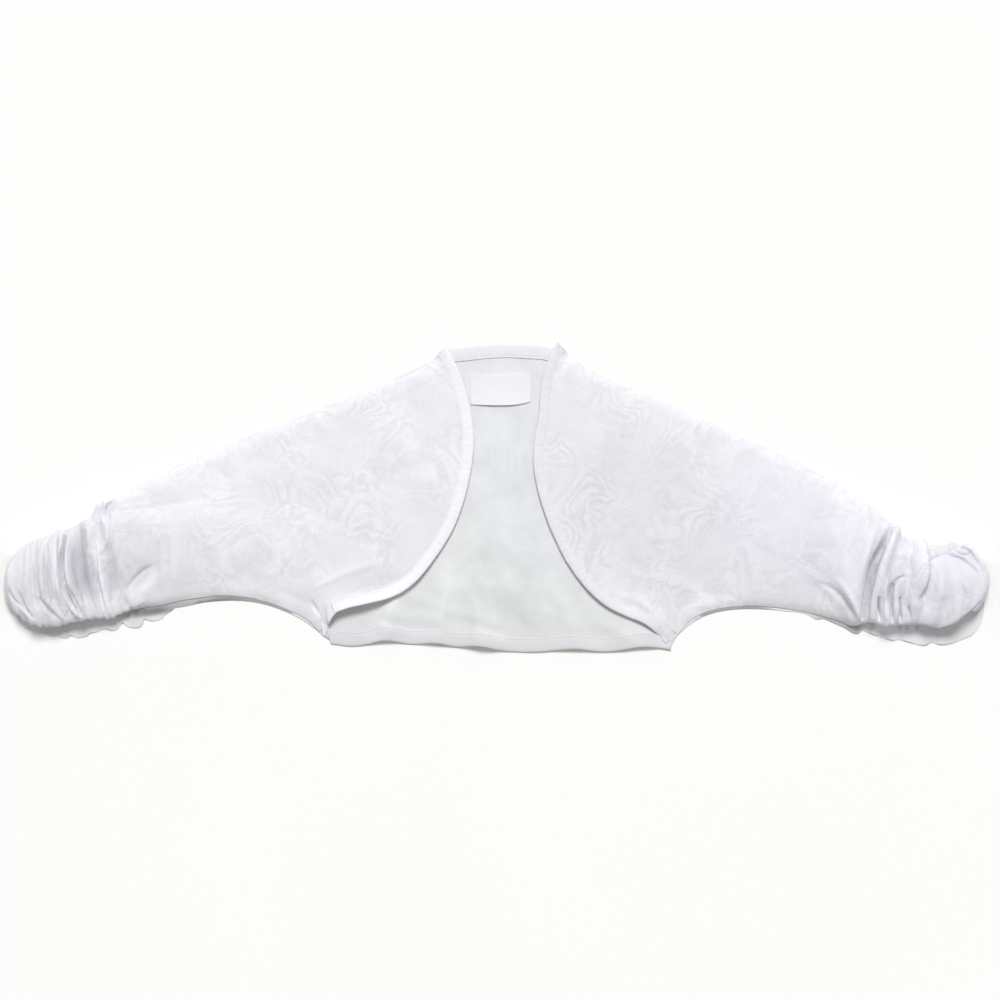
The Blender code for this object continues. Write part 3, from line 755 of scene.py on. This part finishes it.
def keep_upper_face(piece):
    """Leaves only a panel's upper face. Its rim is the faces with an edge as long as the wall is thick."""
    mesh = bmesh.new()
    mesh.from_mesh(piece.data)
    rim = {
        face
        for edge in mesh.edges
        if abs(edge.calc_length() - SOLID_WALL) < WALL_TOLERANCE
        for face in edge.link_faces
    }
    bmesh.ops.delete(mesh, geom=list(rim), context="FACES")
    sides = []
    unseen = set(mesh.faces)
    while unseen:
        start = unseen.pop()
        side = {start}
        waiting = [start]
        while waiting:
            for edge in waiting.pop().edges:
                for other in edge.link_faces:
                    if other in unseen:
                        unseen.discard(other)
                        side.add(other)
                        waiting.append(other)
        sides.append(side)
    sides.sort(key=lambda side: sum(face.calc_center_median().z for face in side) / len(side))
    for side in sides[:-1]:
        bmesh.ops.delete(mesh, geom=list(side), context="FACES")
    loose = [vertex for vertex in mesh.verts if not vertex.link_faces]
    bmesh.ops.delete(mesh, geom=loose, context="VERTS")
    mesh.to_mesh(piece.data)
    mesh.free()
    edit_all(
        piece, (bpy.ops.mesh.tris_convert_to_quads, {"face_threshold": math.pi, "shape_threshold": math.pi})
    )


def apply_modifier(piece, kind, **values):
    only(piece)
    modifier = piece.modifiers.new(kind.lower(), kind)
    for key, value in values.items():
        setattr(modifier, key, value)
    bpy.ops.object.modifier_apply(modifier=modifier.name)


def split_edges(piece, wanted):
    """Halves every edge that is wanted, so that a stretch can hold finer creases."""
    mesh = bmesh.new()
    mesh.from_mesh(piece.data)
    edges = [edge for edge in mesh.edges if wanted(edge)]
    if edges:
        bmesh.ops.subdivide_edges(mesh, edges=edges, cuts=1, use_grid_fill=True, smooth=0.0)
    mesh.to_mesh(piece.data)
    mesh.free()


def points_of(piece):
    points = np.empty(len(piece.data.vertices) * 3)
    piece.data.vertices.foreach_get("co", points)
    return points.reshape(-1, 3)


def set_points(piece, points):
    piece.data.vertices.foreach_set("co", points.ravel())
    piece.data.update()


def relaxed(piece, values, rounds, share):
    """Values at the vertices, each moved towards its neighbours' mean by its own share, round by round."""
    edges = np.empty(len(piece.data.edges) * 2, dtype=int)
    piece.data.edges.foreach_get("vertices", edges)
    edges = edges.reshape(-1, 2)
    degree = np.bincount(edges.ravel(), minlength=len(values))
    values = values.copy()
    for _ in range(rounds):
        total = np.bincount(edges[:, 0], values[edges[:, 1]], len(values))
        total += np.bincount(edges[:, 1], values[edges[:, 0]], len(values))
        values += share * (total / degree - values)
    return values


def crease_curve(crease, steps=16):
    """Points along a crease's curve, in metres."""
    t = np.linspace(0, 1, steps)[:, None]
    a = np.array([crease.x0, crease.y0]) * MM
    b = np.array([crease.x1, crease.y1]) * MM
    c = np.array([crease.x2, crease.y2]) * MM
    bend = 2 * b - (a + c) / 2
    return (1 - t) ** 2 * a + 2 * t * (1 - t) * bend + t**2 * c


def crease_lift(points, creases):
    """How far the creases raise or lower the cloth at each point."""
    lift = np.zeros(len(points))
    for crease in creases:
        curve = crease_curve(crease)
        far = CREASE_REACH * crease.width * (1 + abs(crease.lean)) * MM
        low, high = curve.min(axis=0) - far, curve.max(axis=0) + far
        close = np.flatnonzero(((points[:, :2] > low) & (points[:, :2] < high)).all(axis=1))
        if not len(close):
            continue
        spots = points[close, None, :2]
        run = np.diff(curve, axis=0)[None]
        share = ((spots - curve[None, :-1]) * run).sum(axis=2) / (run**2).sum(axis=2)
        share = np.clip(share, 0, 1)
        away = spots - (curve[None, :-1] + share[..., None] * run)
        lengths = np.linalg.norm(away, axis=2)
        nearest = lengths.argmin(axis=1)
        every = np.arange(len(close))
        side = away[every, nearest]
        tangent = run[0, nearest]
        right = side[:, 0] * tangent[:, 1] - side[:, 1] * tangent[:, 0] > 0
        width = crease.width * MM * np.where(right, 1 - crease.lean, 1 + crease.lean)
        along = (nearest + share[every, nearest]) / (len(curve) - 1)
        taper = np.sin(math.pi * (0.06 + 0.88 * along)) ** 0.7
        lift[close] += crease.height * MM * np.exp(-((lengths[every, nearest] / width) ** 2)) * taper
    return settings().crease_depth * lift


def add_pulls(points, pulls):
    """Pulls the cloth aside or up round each spot."""
    for pull in pulls:
        away = np.linalg.norm(points[:, :2] - np.array([pull.x, pull.y]) * MM, axis=1)
        share = np.exp(-((away / (pull.reach * MM)) ** 2))[:, None]
        points += share * np.array([pull.dx, pull.dy, pull.dz]) * MM


def ripple_lift(points, seed):
    """The soft unevenness of cloth that was smoothed by hand."""
    lift = []
    for point in points:
        spot = Vector((point[0], point[1], seed))
        lift.append(1.3 * noise.noise(spot * 16) + 0.5 * noise.noise(spot * 52 + Vector((7, 3, 0))))
    return settings().ripple * np.array(lift)


def gather_lift(points, inside, share, seed):
    """Small uneven pleats that start at the gathered seams and die out towards the middle of the arm."""
    lift = np.zeros(len(points))
    for index in np.flatnonzero(share > 0):
        x, y = points[index, 0], points[index, 1]
        depth = inside[index]
        sway = noise.noise(Vector((x * 30, y * 18, seed)))
        pleat = math.sin(2 * math.pi * (x / PLEAT_WIDTH + 0.9 * sway + y * 12))
        uneven = 0.6 + 0.8 * noise.noise(Vector((x * 60, y * 25, seed + 5)))
        fading = math.exp(-depth / PLEAT_REACH) * (0.35 + 0.65 * min(1.0, depth / PLEAT_RIM))
        wrinkle = 1 - 3 * abs(noise.noise(Vector((x * 210 + 4 * sway, y * 42, seed + 9))))
        wrinkle *= WRINKLE * min(1.0, depth / WRINKLE_RIM)
        lift[index] = share[index] * (pleat * uneven * fading + wrinkle)
    return settings().gather * lift


def normals_of(piece):
    normals = np.empty(len(piece.data.vertices) * 3)
    piece.data.vertices.foreach_get("normal", normals)
    return normals.reshape(-1, 3)


def border_of(piece):
    """The indices of a sheet's border vertices."""
    mesh = bmesh.new()
    mesh.from_mesh(piece.data)
    border = [vertex.index for vertex in mesh.verts if vertex.is_boundary]
    mesh.free()
    return border


def mark_border(piece, border):
    """Keeps a sheet's border in a vertex group, and in others the parts that strips are folded round."""
    piece.vertex_groups.new(name="border").add(border, 1.0, "REPLACE")
    for strip in STRIPS:
        if strip.panel == piece.name:
            tree = tree_of(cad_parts[strip.node])
            away = {index: tree.find_nearest(piece.data.vertices[index].co)[3] for index in border}
            near = [index for index in border if away[index] < STRIP_NEAR]
            piece.vertex_groups.new(name=strip.node).add(near, 1.0, "REPLACE")


def indices_in(piece, name):
    """The vertices of one of a sheet's vertex groups."""
    group = piece.vertex_groups[name].index
    return [
        vertex.index
        for vertex in piece.data.vertices
        if any(item.group == group for item in vertex.groups)
    ]


def edge_distance(piece, border):
    """How far each vertex lies from the sheet's own border."""
    tree = KDTree(len(border))
    for index in border:
        tree.insert(piece.data.vertices[index].co, index)
    tree.balance()
    return np.array([tree.find(vertex.co)[2] for vertex in piece.data.vertices])


def from_edge(inside, rim, least=0.0):
    """A share that grows from the least at a sheet's edge to 1 at the rim's width from it."""
    return np.clip(inside / rim, least, 1.0)


def tree_of(piece):
    return BVHTree.FromPolygons(
        [vertex.co for vertex in piece.data.vertices], [tuple(face.vertices) for face in piece.data.polygons]
    )


def height_below(tree, point, missing=0.0):
    """The height of what lies under a point."""
    hit = tree.ray_cast(Vector((point[0], point[1], ABOVE)), Vector((0, 0, -1)))[0]
    return hit.z if hit else missing


def allowance_tone(points, inside, allowance):
    """How much lighter a seam allowance makes the cloth that lies over it."""
    depth = inside / MM
    x = points[:, 0] / MM
    slant = 0.87 * depth
    outer, inner = sorted((allowance.x_from, allowance.x_to), key=abs, reverse=True)
    shown = (np.abs(x) < abs(outer) - slant) & (np.abs(x) > abs(inner)) & (points[:, 1] < UNDERARM)
    return allowance.tone * shown * np.clip(allowance.wide + 0.5 - depth, 0, 1)


def paint_tone_and_shade(piece, patches, creases, allowance=None):
    """Writes how light or dark the cloth is painted at each vertex: with the layers that lie under it, and
    with painted shade and painted light in its creases and patches.
    """
    points = points_of(piece)
    # Painted shade in the creases' valleys and painted light on their ridges.
    tone = 1 + FOLD_PAINTED_SHADE * crease_lift(points, creases) / MM
    if allowance:
        tone += allowance_tone(points, edge_distance(piece, indices_in(piece, "border")), allowance)
    violet = np.zeros(len(points))
    for patch in patches:
        turn = math.radians(patch.turn)
        away = points[:, :2] / MM - np.array([patch.x, patch.y])
        along = (away[:, 0] * math.cos(turn) + away[:, 1] * math.sin(turn)) / patch.along
        across = (away[:, 1] * math.cos(turn) - away[:, 0] * math.sin(turn)) / patch.across
        share = 1 / (1 + np.hypot(along, across) ** 6)
        tone += patch.tone * share
        violet += patch.violet * share
    shades = [tone * (1 + cast * violet) for cast in VIOLET_CAST]
    colours = np.stack([*shades, np.ones_like(tone)], axis=1)
    attribute = piece.data.color_attributes.new("layer_tone_and_shade", "FLOAT_COLOR", "POINT")
    attribute.data.foreach_set("color", colours.ravel())


def finish_shell(piece, material):
    """Gives a sheet its thickness below its face, its material and its place on the body."""
    apply_modifier(piece, "SOLIDIFY", thickness=settings().cloth, offset=-1.0, use_even_offset=False)
    bpy.ops.object.shade_smooth()
    piece.data.materials.append(material)
    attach(piece, BODY)


def path_lengths(line):
    """How far each point of a line is from its start, along it."""
    return np.concatenate([[0], np.cumsum(np.linalg.norm(np.diff(line, axis=0), axis=1))])


def border_between(piece, first, last):
    """A sheet's border vertices from the one nearest to a place to another's, the short way round."""
    mesh = bmesh.new()
    mesh.from_mesh(piece.data)
    border = [vertex for vertex in mesh.verts if vertex.is_boundary]
    start, end = (
        min(border, key=lambda vertex: math.dist(vertex.co[:2], place)) for place in (first, last)
    )
    ways = []
    for edge in start.link_edges:
        if edge.is_boundary:
            way = [start, edge.other_vert(start)]
            while way[-1] not in (start, end):
                edge = next(other for other in way[-1].link_edges if other.is_boundary and other != edge)
                way.append(edge.other_vert(way[-1]))
            ways.append([vertex.index for vertex in way])
    mesh.free()
    return min(ways, key=len)


def resampled(line, step):
    """Evenly spaced points along a line."""
    line = np.asarray(line, dtype=float)
    lengths = path_lengths(line)
    at = np.linspace(0, lengths[-1], max(3, round(lengths[-1] / step)))
    return np.stack([np.interp(at, lengths, line[:, part]) for part in range(line.shape[1])], axis=1)


def smoothed(line, rounds):
    line = line.copy()
    for _ in range(rounds):
        line[1:-1] = (line[:-2] + 2 * line[1:-1] + line[2:]) / 4
    return line


class BoleroStage(bpy.types.Operator):
    """Lays the white table and sets the soft light and the camera above it"""

    bl_idname = "bolero.stage"
    bl_label = "Table, light and camera"

    def execute(self, context):
        bpy.ops.object.select_all(action="DESELECT")
        bpy.ops.mesh.primitive_plane_add(size=TABLE_SIZE, location=(0, 0, 0))
        table = context.object
        table.name = "table"
        table.data.materials.append(table_material())

        bpy.ops.object.light_add(type="SUN", location=WINDOW_PLACE)
        window = context.object
        window.name = "window_light"
        window.data.angle = WINDOW_ANGLE
        window.data.energy = WINDOW_ENERGY
        window.data.color = WINDOW_COLOUR
        window.rotation_euler = (Vector((0, 0, 0)) - window.location).to_track_quat("-Z", "Y").to_euler()

        world = bpy.data.worlds.new("soft_room")
        world.use_nodes = True
        sky = world.node_tree.nodes["Background"]
        sky.inputs["Color"].default_value = ROOM_COLOUR
        sky.inputs["Strength"].default_value = ROOM_STRENGTH
        context.scene.world = world

        eye = CAMERA_AIM + CAMERA_DISTANCE * Vector((0, -math.cos(CAMERA_TILT), math.sin(CAMERA_TILT)))
        bpy.ops.object.camera_add(location=eye)
        camera = context.object
        camera.rotation_euler = (CAMERA_AIM - eye).to_track_quat("-Z", "Y").to_euler()
        camera.data.sensor_width = CAMERA_SENSOR
        camera.data.lens = CAMERA_SENSOR * CAMERA_DISTANCE / VIEW_WIDTH
        context.scene.camera = camera
        context.scene.view_settings.view_transform = "Standard"
        return {"FINISHED"}


class BoleroBack(bpy.types.Operator):
    """Makes the back with its half of the sleeves as one thin sheet"""

    bl_idname = "bolero.back"
    bl_label = "Back"

    def execute(self, context):
        piece = copy_of("back", "back_panel")
        keep_upper_face(piece)
        apply_modifier(piece, "SUBSURF", levels=2, render_levels=2, boundary_smooth="ALL")
        split_edges(piece, lambda edge: edge.calc_length() > BACK_COARSE_EDGE)
        split_edges(piece, self.in_frill)
        points = points_of(piece)
        border = border_of(piece)
        mark_border(piece, border)
        self.shape_frill(piece, points, LEFT_FRILL)
        self.shape_frill(piece, points, RIGHT_FRILL)
        add_pulls(points, BACK_PULLS)
        set_points(piece, points)
        inside = edge_distance(piece, border)
        points[:, 2] -= SOLID_WALL - settings().cloth - LAYER_GAP
        creased = from_edge(inside, BACK_CREASE_RIM, BACK_CREASE_LEFT)
        points[:, 2] += crease_lift(points, BACK_CREASES) * creased
        points[:, 2] += BACK_RIPPLE * ripple_lift(points, 3.0) * from_edge(inside, BACK_RIPPLE_RIM)
        points[:, 2] = np.maximum(points[:, 2], settings().cloth + LEAST_GAP)
        set_points(piece, points)
        colour = settings().back_colour
        finish_shell(piece, chiffon_material("chiffon_single", colour, 0.0, 0.075))
        paint_tone_and_shade(piece, BACK_PATCHES, BACK_CREASES)
        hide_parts("back")
        return {"FINISHED"}

    def in_frill(self, edge):
        """Whether an edge lies in the under layer that shows at a sleeve end."""
        return all(abs(v.co.x) > FRILL_FINE_FROM and v.co.y < FRILL_FINE_BELOW for v in edge.verts)

    def shape_frill(self, piece, points, frill):
        """Moves the under layer's edge at a sleeve end to its uneven outline, and the cloth near it along."""
        frill = np.array(frill) * MM
        edge = border_between(piece, frill[0], frill[-1])
        along, wanted_along = path_lengths(points[edge, :2]), path_lengths(frill)
        share = along / along[-1] * wanted_along[-1]
        wanted = np.stack([np.interp(share, wanted_along, frill[:, part]) for part in range(2)], axis=1)
        ends = np.clip(np.minimum(along, along[-1] - along) / FRILL_ENDS, 0, 1)
        moved = (wanted - points[edge, :2]) * ends[:, None]
        near = np.flatnonzero(points[:, 0] * frill[0, 0] > FRILL_FROM * abs(frill[0, 0]))
        apart = np.linalg.norm(points[near, None, :2] - points[None, edge, :2], axis=2)
        weight = (apart + WELD) ** -3
        fading = np.clip(1 - apart.min(axis=1) / FRILL_REACH, 0, 1)[:, None]
        points[near, :2] += fading * (weight @ moved) / weight.sum(axis=1)[:, None]
        points[near, 2] *= 1 - FRILL_DROP * fading[:, 0] ** 3


class BoleroFronts(bpy.types.Operator):
    """Makes each front with its ruched half of the sleeve as one thin sheet, sewn down to the back"""

    bl_idname = "bolero.fronts"
    bl_label = "Fronts"

    def execute(self, context):
        material = chiffon_material("chiffon_double", settings().front_colour, 0.045, 0.035)
        back = tree_of(bpy.data.objects["back_panel"])
        for side, seam, creases, pulls, patches, allowance, seed in (
            ("left", LEFT_SEAM, LEFT_CREASES, LEFT_PULLS, LEFT_PATCHES, LEFT_ALLOWANCE, 11.0),
            ("right", RIGHT_SEAM, RIGHT_CREASES, RIGHT_PULLS, RIGHT_PATCHES, RIGHT_ALLOWANCE, 29.0),
        ):
            piece = copy_of(f"front_{side}", f"front_panel_{side}")
            keep_upper_face(piece)
            apply_modifier(piece, "SUBSURF", levels=2, render_levels=2, boundary_smooth="ALL")
            split_edges(piece, lambda edge: edge.calc_length() > FRONT_COARSE_EDGE)
            split_edges(piece, self.in_ruches)
            for _ in range(ALLOWANCE_HALVINGS):
                split_edges(piece, self.at_allowance)
            mark_border(piece, border_of(piece))
            self.shape(piece, side, seam, creases, pulls, seed, back)
            finish_shell(piece, material)
            paint_tone_and_shade(piece, patches, creases, allowance)
            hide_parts(f"front_{side}")
        return {"FINISHED"}

    def in_ruches(self, edge):
        """Whether an edge lies in the ruched end and isn't fine enough for its creases."""
        ruched = all(abs(v.co.x) > RUCHES_FINE_FROM for v in edge.verts)
        return ruched and edge.calc_length() > FINE_EDGE

    def at_allowance(self, edge):
        """Whether an edge lies where the seam allowance shows through."""
        first, last = ALLOWANCE_FINE
        return all(first < abs(v.co.x) < last and v.co.y < UNDERARM for v in edge.verts)

    def shape(self, piece, side, seam, creases, pulls, seed, back):
        """Rounds the ruched end, adds the creases and sews the seams down on the back."""
        points = points_of(piece)
        border = border_of(piece)
        inside = edge_distance(piece, border)
        reach = np.abs(points[:, 0])
        ruched = np.clip((reach - PUFF_FROM) / (PUFF_FULL - PUFF_FROM), 0, 1)
        smoothing = SMOOTHING_SHARE * ruched * from_edge(inside, SMOOTHING_RIM)
        points[:, 2] = relaxed(piece, points[:, 2], SMOOTHING_ROUNDS, smoothing)

        above = points[:, 1] - np.interp(reach, *seam)
        turn = np.clip(above / PUFF_REACH, 0, 1)
        puffed = ruched * np.clip((MOUTH - reach) / MOUTH_REACH, 0, 1)
        # This curve is 0 at both ends and 1 at its highest, a third of the way up.
        bulge = 27 / 4 * turn * (1 - turn) ** 2
        points[:, 1] += puffed * (PUFF_INSET * (1 - turn) - PUFF_BULGE * bulge)
        points[:, 2] += puffed * PUFF_LIFT * bulge

        add_pulls(points, pulls)
        set_points(piece, points)
        smooth = np.clip((points[:, 0] - RIGHT_PLEATS_TO) / (20 * MM), 0, 0.75)
        lift = gather_lift(points, inside, ruched * (1 - smooth), seed)
        lift += crease_lift(points, creases) * from_edge(inside, FRONT_CREASE_RIM, FRONT_CREASE_LEFT)
        lift += ripple_lift(points, seed) * from_edge(inside, FRONT_RIPPLE_RIM)
        points += normals_of(piece) * lift[:, None]
        self.sew_down(piece, points, border, back, side)
        set_points(piece, points)

    def sew_down(self, piece, points, border, back, side):
        """Lowers the seams, where a front's edge meets the back, onto it."""
        cloth = settings().cloth
        bound = points[indices_in(piece, f"front_binding_{side}")]
        drops = []
        for index in border:
            x, y, z = points[index]
            height = z - height_below(back, (x, y)) - cloth
            from_strip = np.linalg.norm(bound - points[index], axis=1).min()
            if height < SEWN_BELOW and from_strip > SEWN_FROM_STRIP:
                drops.append(((x, y, 0.0), height - LAYER_GAP))
        seam = KDTree(len(drops))
        for index, (place, _) in enumerate(drops):
            seam.insert(place, index)
        seam.balance()
        for point in points:
            _, index, distance = seam.find((point[0], point[1], 0.0))
            drop = drops[index][1]
            reach = SEWN_REACH + SEWN_SPREAD * abs(drop)
            if distance < reach and point[2] < SEWN_CLOTH_BELOW:
                point[2] -= drop * (1 - distance / reach) ** 2
        for point in points:
            point[2] = max(point[2], height_below(back, point) + cloth + LEAST_GAP)


class BoleroBindings(bpy.types.Operator):
    """Folds a bias strip round each front edge, the back neck and the hem, and stitches it down"""

    bl_idname = "bolero.bindings"
    bl_label = "Bindings"

    def execute(self, context):
        thread = thread_material()
        for strip in STRIPS:
            cloth = binding_material(strip.tone)
            line, slants = self.edge_line(strip)
            folded, stitches = self.fold(strip, line, slants)
            for piece, material in ((folded, cloth), (stitches, thread)):
                only(piece)
                bpy.ops.object.shade_smooth()
                piece.data.materials.append(material)
                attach(piece, BODY)
            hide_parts(strip.node)
        return {"FINISHED"}

    def edge_line(self, strip):
        """The panel's edge that a strip is folded round, as a smooth line, and the slants of its ends."""
        panel = bpy.data.objects[strip.panel]
        bound = indices_in(panel, strip.node)
        line = points_of(panel)[bound[: len(bound) // 2]]
        tip_x = max(strip.ends, key=lambda end: end[1])[0] * MM
        line = line[(line[:, 1] < SHOULDER) | (np.abs(line[:, 0]) < abs(tip_x))]
        away = line[:, :2] - np.array(strip.centre) * MM
        middle = away.mean(axis=0)
        turn = np.arctan2(middle[0] * away[:, 1] - middle[1] * away[:, 0], away @ middle)
        line = line[np.argsort(turn)]
        places = [np.array((x, y)) * MM for x, y, _ in strip.ends]
        clear = np.array([min(np.linalg.norm(spot[:2] - place) for place in places) for spot in line])
        line = smoothed(resampled(line[clear > STRIP_CLEAR], EDGE_STEP), EDGE_ROUNDS)
        (first_x, first_y, first), (last_x, last_y, last) = sorted(
            strip.ends, key=lambda end: np.linalg.norm(np.array(end[:2]) * MM - line[0, :2])
        )
        first_end = (first_x * MM, first_y * MM, line[0, 2])
        last_end = (last_x * MM, last_y * MM, line[-1, 2])
        return resampled(np.vstack([first_end, line, last_end]), STRIP_STEP), (first, last)

    def fold(self, strip, line, slants):
        """A strip folded over a line, and the row of stitches that holds it."""
        tree = tree_of(bpy.data.objects[strip.panel])
        tangent = np.gradient(line, axis=0)
        tangent[:, 2] = 0
        tangent /= np.linalg.norm(tangent, axis=1)[:, None]
        outward = np.stack([-tangent[:, 1], tangent[:, 0], np.zeros(len(line))], axis=1)
        middle = len(line) // 2
        probe = line[middle] + STRIP_PROBE * outward[middle]
        if height_below(tree, probe, -1.0) > line[middle, 2] - 1 * MM:
            outward = -outward
        run = np.linspace(0, STRIP_STEP * (len(line) - 1), len(line))
        slant = slants[1] * np.clip(1 - (run[-1] - run) / STRIP_SLANT, 0, 1)
        slant -= slants[0] * np.clip(1 - run / STRIP_SLANT, 0, 1)

        def place(step, depth):
            """Where a point of the strip lies that is so far in from the cloth's edge."""
            return line[step] - outward[step] * depth + tangent[step] * slant[step] * max(depth, 0.0)

        depths = [depth * strip.wide * MM for depth, _ in STRIP_TOP]
        levels = np.array(
            [
                [height_below(tree, place(step, max(depth, 0.4 * MM)), line[step, 2]) for depth in depths]
                for step in range(len(line))
            ]
        )
        levels = np.clip(levels, line[:, 2:3] - STRIP_SINKS, line[:, 2:3] + STRIP_RISES)
        levels = smoothed(levels, EDGE_ROUNDS)
        rings = []
        for step in range(len(line)):
            along = run[step] / MM
            puff = 1 + 0.35 * noise.noise(Vector((along * 0.09, strip.seed, 0)))
            puff += 0.45 * noise.noise(Vector((along * 0.33, strip.seed, 4)))
            sway = 0.25 * MM * noise.noise(Vector((along * 0.06, strip.seed, 8)))
            stand = strip.stand * (0.55 + 0.9 * noise.noise(Vector((along * 0.05, strip.seed, 12))))
            puff *= 0.15 + 0.85 * min(1.0, run[step] / STRIP_THIN, (run[-1] - run[step]) / STRIP_THIN)
            ring = []
            for (depth, height), inset, level in zip(STRIP_TOP, depths, levels[step]):
                spot = place(step, inset + sway)
                if height > 0:
                    off = min(max((depth - STAND_FROM) / STAND_OVER, 0.0), 1.0)
                    height = height * puff + max(stand, 0.0) * off
                spot[2] = max(level + height * MM, LEAST_GAP)
                ring.append(spot)
            rings.append(np.array(ring))
        folded = add_object(strip.node.replace("binding", "bias_strip"), tube_mesh(strip.node, rings))
        folded_tree = tree_of(folded)
        sew_at = np.array([place(step, STITCH_LINE * strip.wide * MM) for step in range(len(line))])
        sew_at[:, 2] = [height_below(folded_tree, spot, spot[2]) for spot in sew_at]
        stitches = add_object(strip.node.replace("binding", "stitches"), stitch_mesh(strip.node, sew_at))
        return folded, stitches


def outward_mesh(name, vertices, faces):
    """A closed mesh whose faces point outwards. Its faces with very many corners are cut up."""
    mesh = bpy.data.meshes.new(name)
    mesh.from_pydata(vertices, [], faces)
    work = bmesh.new()
    work.from_mesh(mesh)
    bmesh.ops.triangulate(work, faces=[face for face in work.faces if len(face.verts) > SPINDLE_SIDES])
    bmesh.ops.recalc_face_normals(work, faces=work.faces)
    work.to_mesh(mesh)
    work.free()
    return mesh


def tube_mesh(name, rings):
    """A closed tube through rings of points, with flat ends."""
    count = len(rings[0])
    vertices = [tuple(point) for ring in rings for point in ring]
    faces = [
        (k * count + i, k * count + (i + 1) % count, (k + 1) * count + (i + 1) % count, (k + 1) * count + i)
        for k in range(len(rings) - 1)
        for i in range(count)
    ]
    faces.append(tuple(range(count)))
    faces.append(tuple((len(rings) - 1) * count + i for i in reversed(range(count))))
    return outward_mesh(name, vertices, faces)


def stitch_mesh(name, line):
    """A row of short stitches along a line, each a small spindle of thread sunk into the cloth."""
    length, gap, radius = settings().stitch, settings().stitch_gap, settings().thread
    spots = resampled(line, length + gap)
    sides = SPINDLE_SIDES
    vertices, faces = [], []
    for start, end in zip(spots[:-1], spots[1:]):
        way = (end - start) / np.linalg.norm(end - start)
        side = np.array([-way[1], way[0], 0])
        rise = np.cross(way, side)
        first = len(vertices)
        for share, size in SPINDLE:
            middle = start + way * length * share + rise * radius * (size * 0.7 - 0.5)
            for k in range(sides):
                turn = math.tau * k / sides
                across = side * math.cos(turn) + rise * math.sin(turn)
                vertices.append(tuple(middle + radius * size * across))
        for ring in range(len(SPINDLE) - 1):
            for k in range(sides):
                a = first + ring * sides + k
                b = first + ring * sides + (k + 1) % sides
                faces.append((a, b, b + sides, a + sides))
        faces.append(tuple(first + k for k in reversed(range(sides))))
        last = first + (len(SPINDLE) - 1) * sides
        faces.append(tuple(last + k for k in range(sides)))
    return outward_mesh(name, vertices, faces)


class BoleroLabel(bpy.types.Operator):
    """Makes the plain woven label inside the back neck"""

    bl_idname = "bolero.label"
    bl_label = "Label"

    def execute(self, context):
        piece = copy_of("label", "woven_label")
        apply_modifier(piece, "SUBSURF", levels=2, render_levels=2, subdivision_type="SIMPLE")
        points = points_of(piece)
        across = np.clip((points[:, 0] - LABEL_MIDDLE) / LABEL_HALF, -1, 1)
        down = np.clip((LABEL_TOP - points[:, 1]) / LABEL_HEIGHT, 0, 1)
        points[:, 1] -= LABEL_SAG * down * (1 - across**2)
        points[:, 1] += LABEL_CORNER * down * np.clip(across, 0, 1) ** 3
        points[:, 2] += LABEL_BULGE * down * (1 - across**2) - LABEL_DROP * (0.35 + 0.65 * down)
        set_points(piece, points)
        only(piece)
        bpy.ops.object.shade_smooth_by_angle(angle=math.radians(40))
        piece.data.materials.append(label_material())
        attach(piece, BODY)
        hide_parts("label")
        return {"FINISHED"}


class BoleroPanel(bpy.types.Panel):
    """Lists the jacket's sizes and the steps that make it"""

    bl_idname = "VIEW3D_PT_bolero"
    bl_label = "Bolero"
    bl_space_type = "VIEW_3D"
    bl_region_type = "UI"
    bl_category = "Bolero"

    def draw(self, context):
        for name in BoleroSettings.__annotations__:
            self.layout.prop(context.scene.bolero, name)
        for step in STEPS:
            self.layout.operator(step.bl_idname)


STEPS = (BoleroStage, BoleroBack, BoleroFronts, BoleroBindings, BoleroLabel)
CLASSES = (BoleroSettings, *STEPS, BoleroPanel)


def register():
    for cls in CLASSES:
        bpy.utils.register_class(cls)
    bpy.types.Scene.bolero = bpy.props.PointerProperty(type=BoleroSettings)


def unregister():
    del bpy.types.Scene.bolero
    for cls in reversed(CLASSES):
        bpy.utils.unregister_class(cls)


def main():
    register()
    for step in STEPS:
        group, name = step.bl_idname.split(".")
        getattr(getattr(bpy.ops, group), name)()


if __name__ == "__main__":
    main()
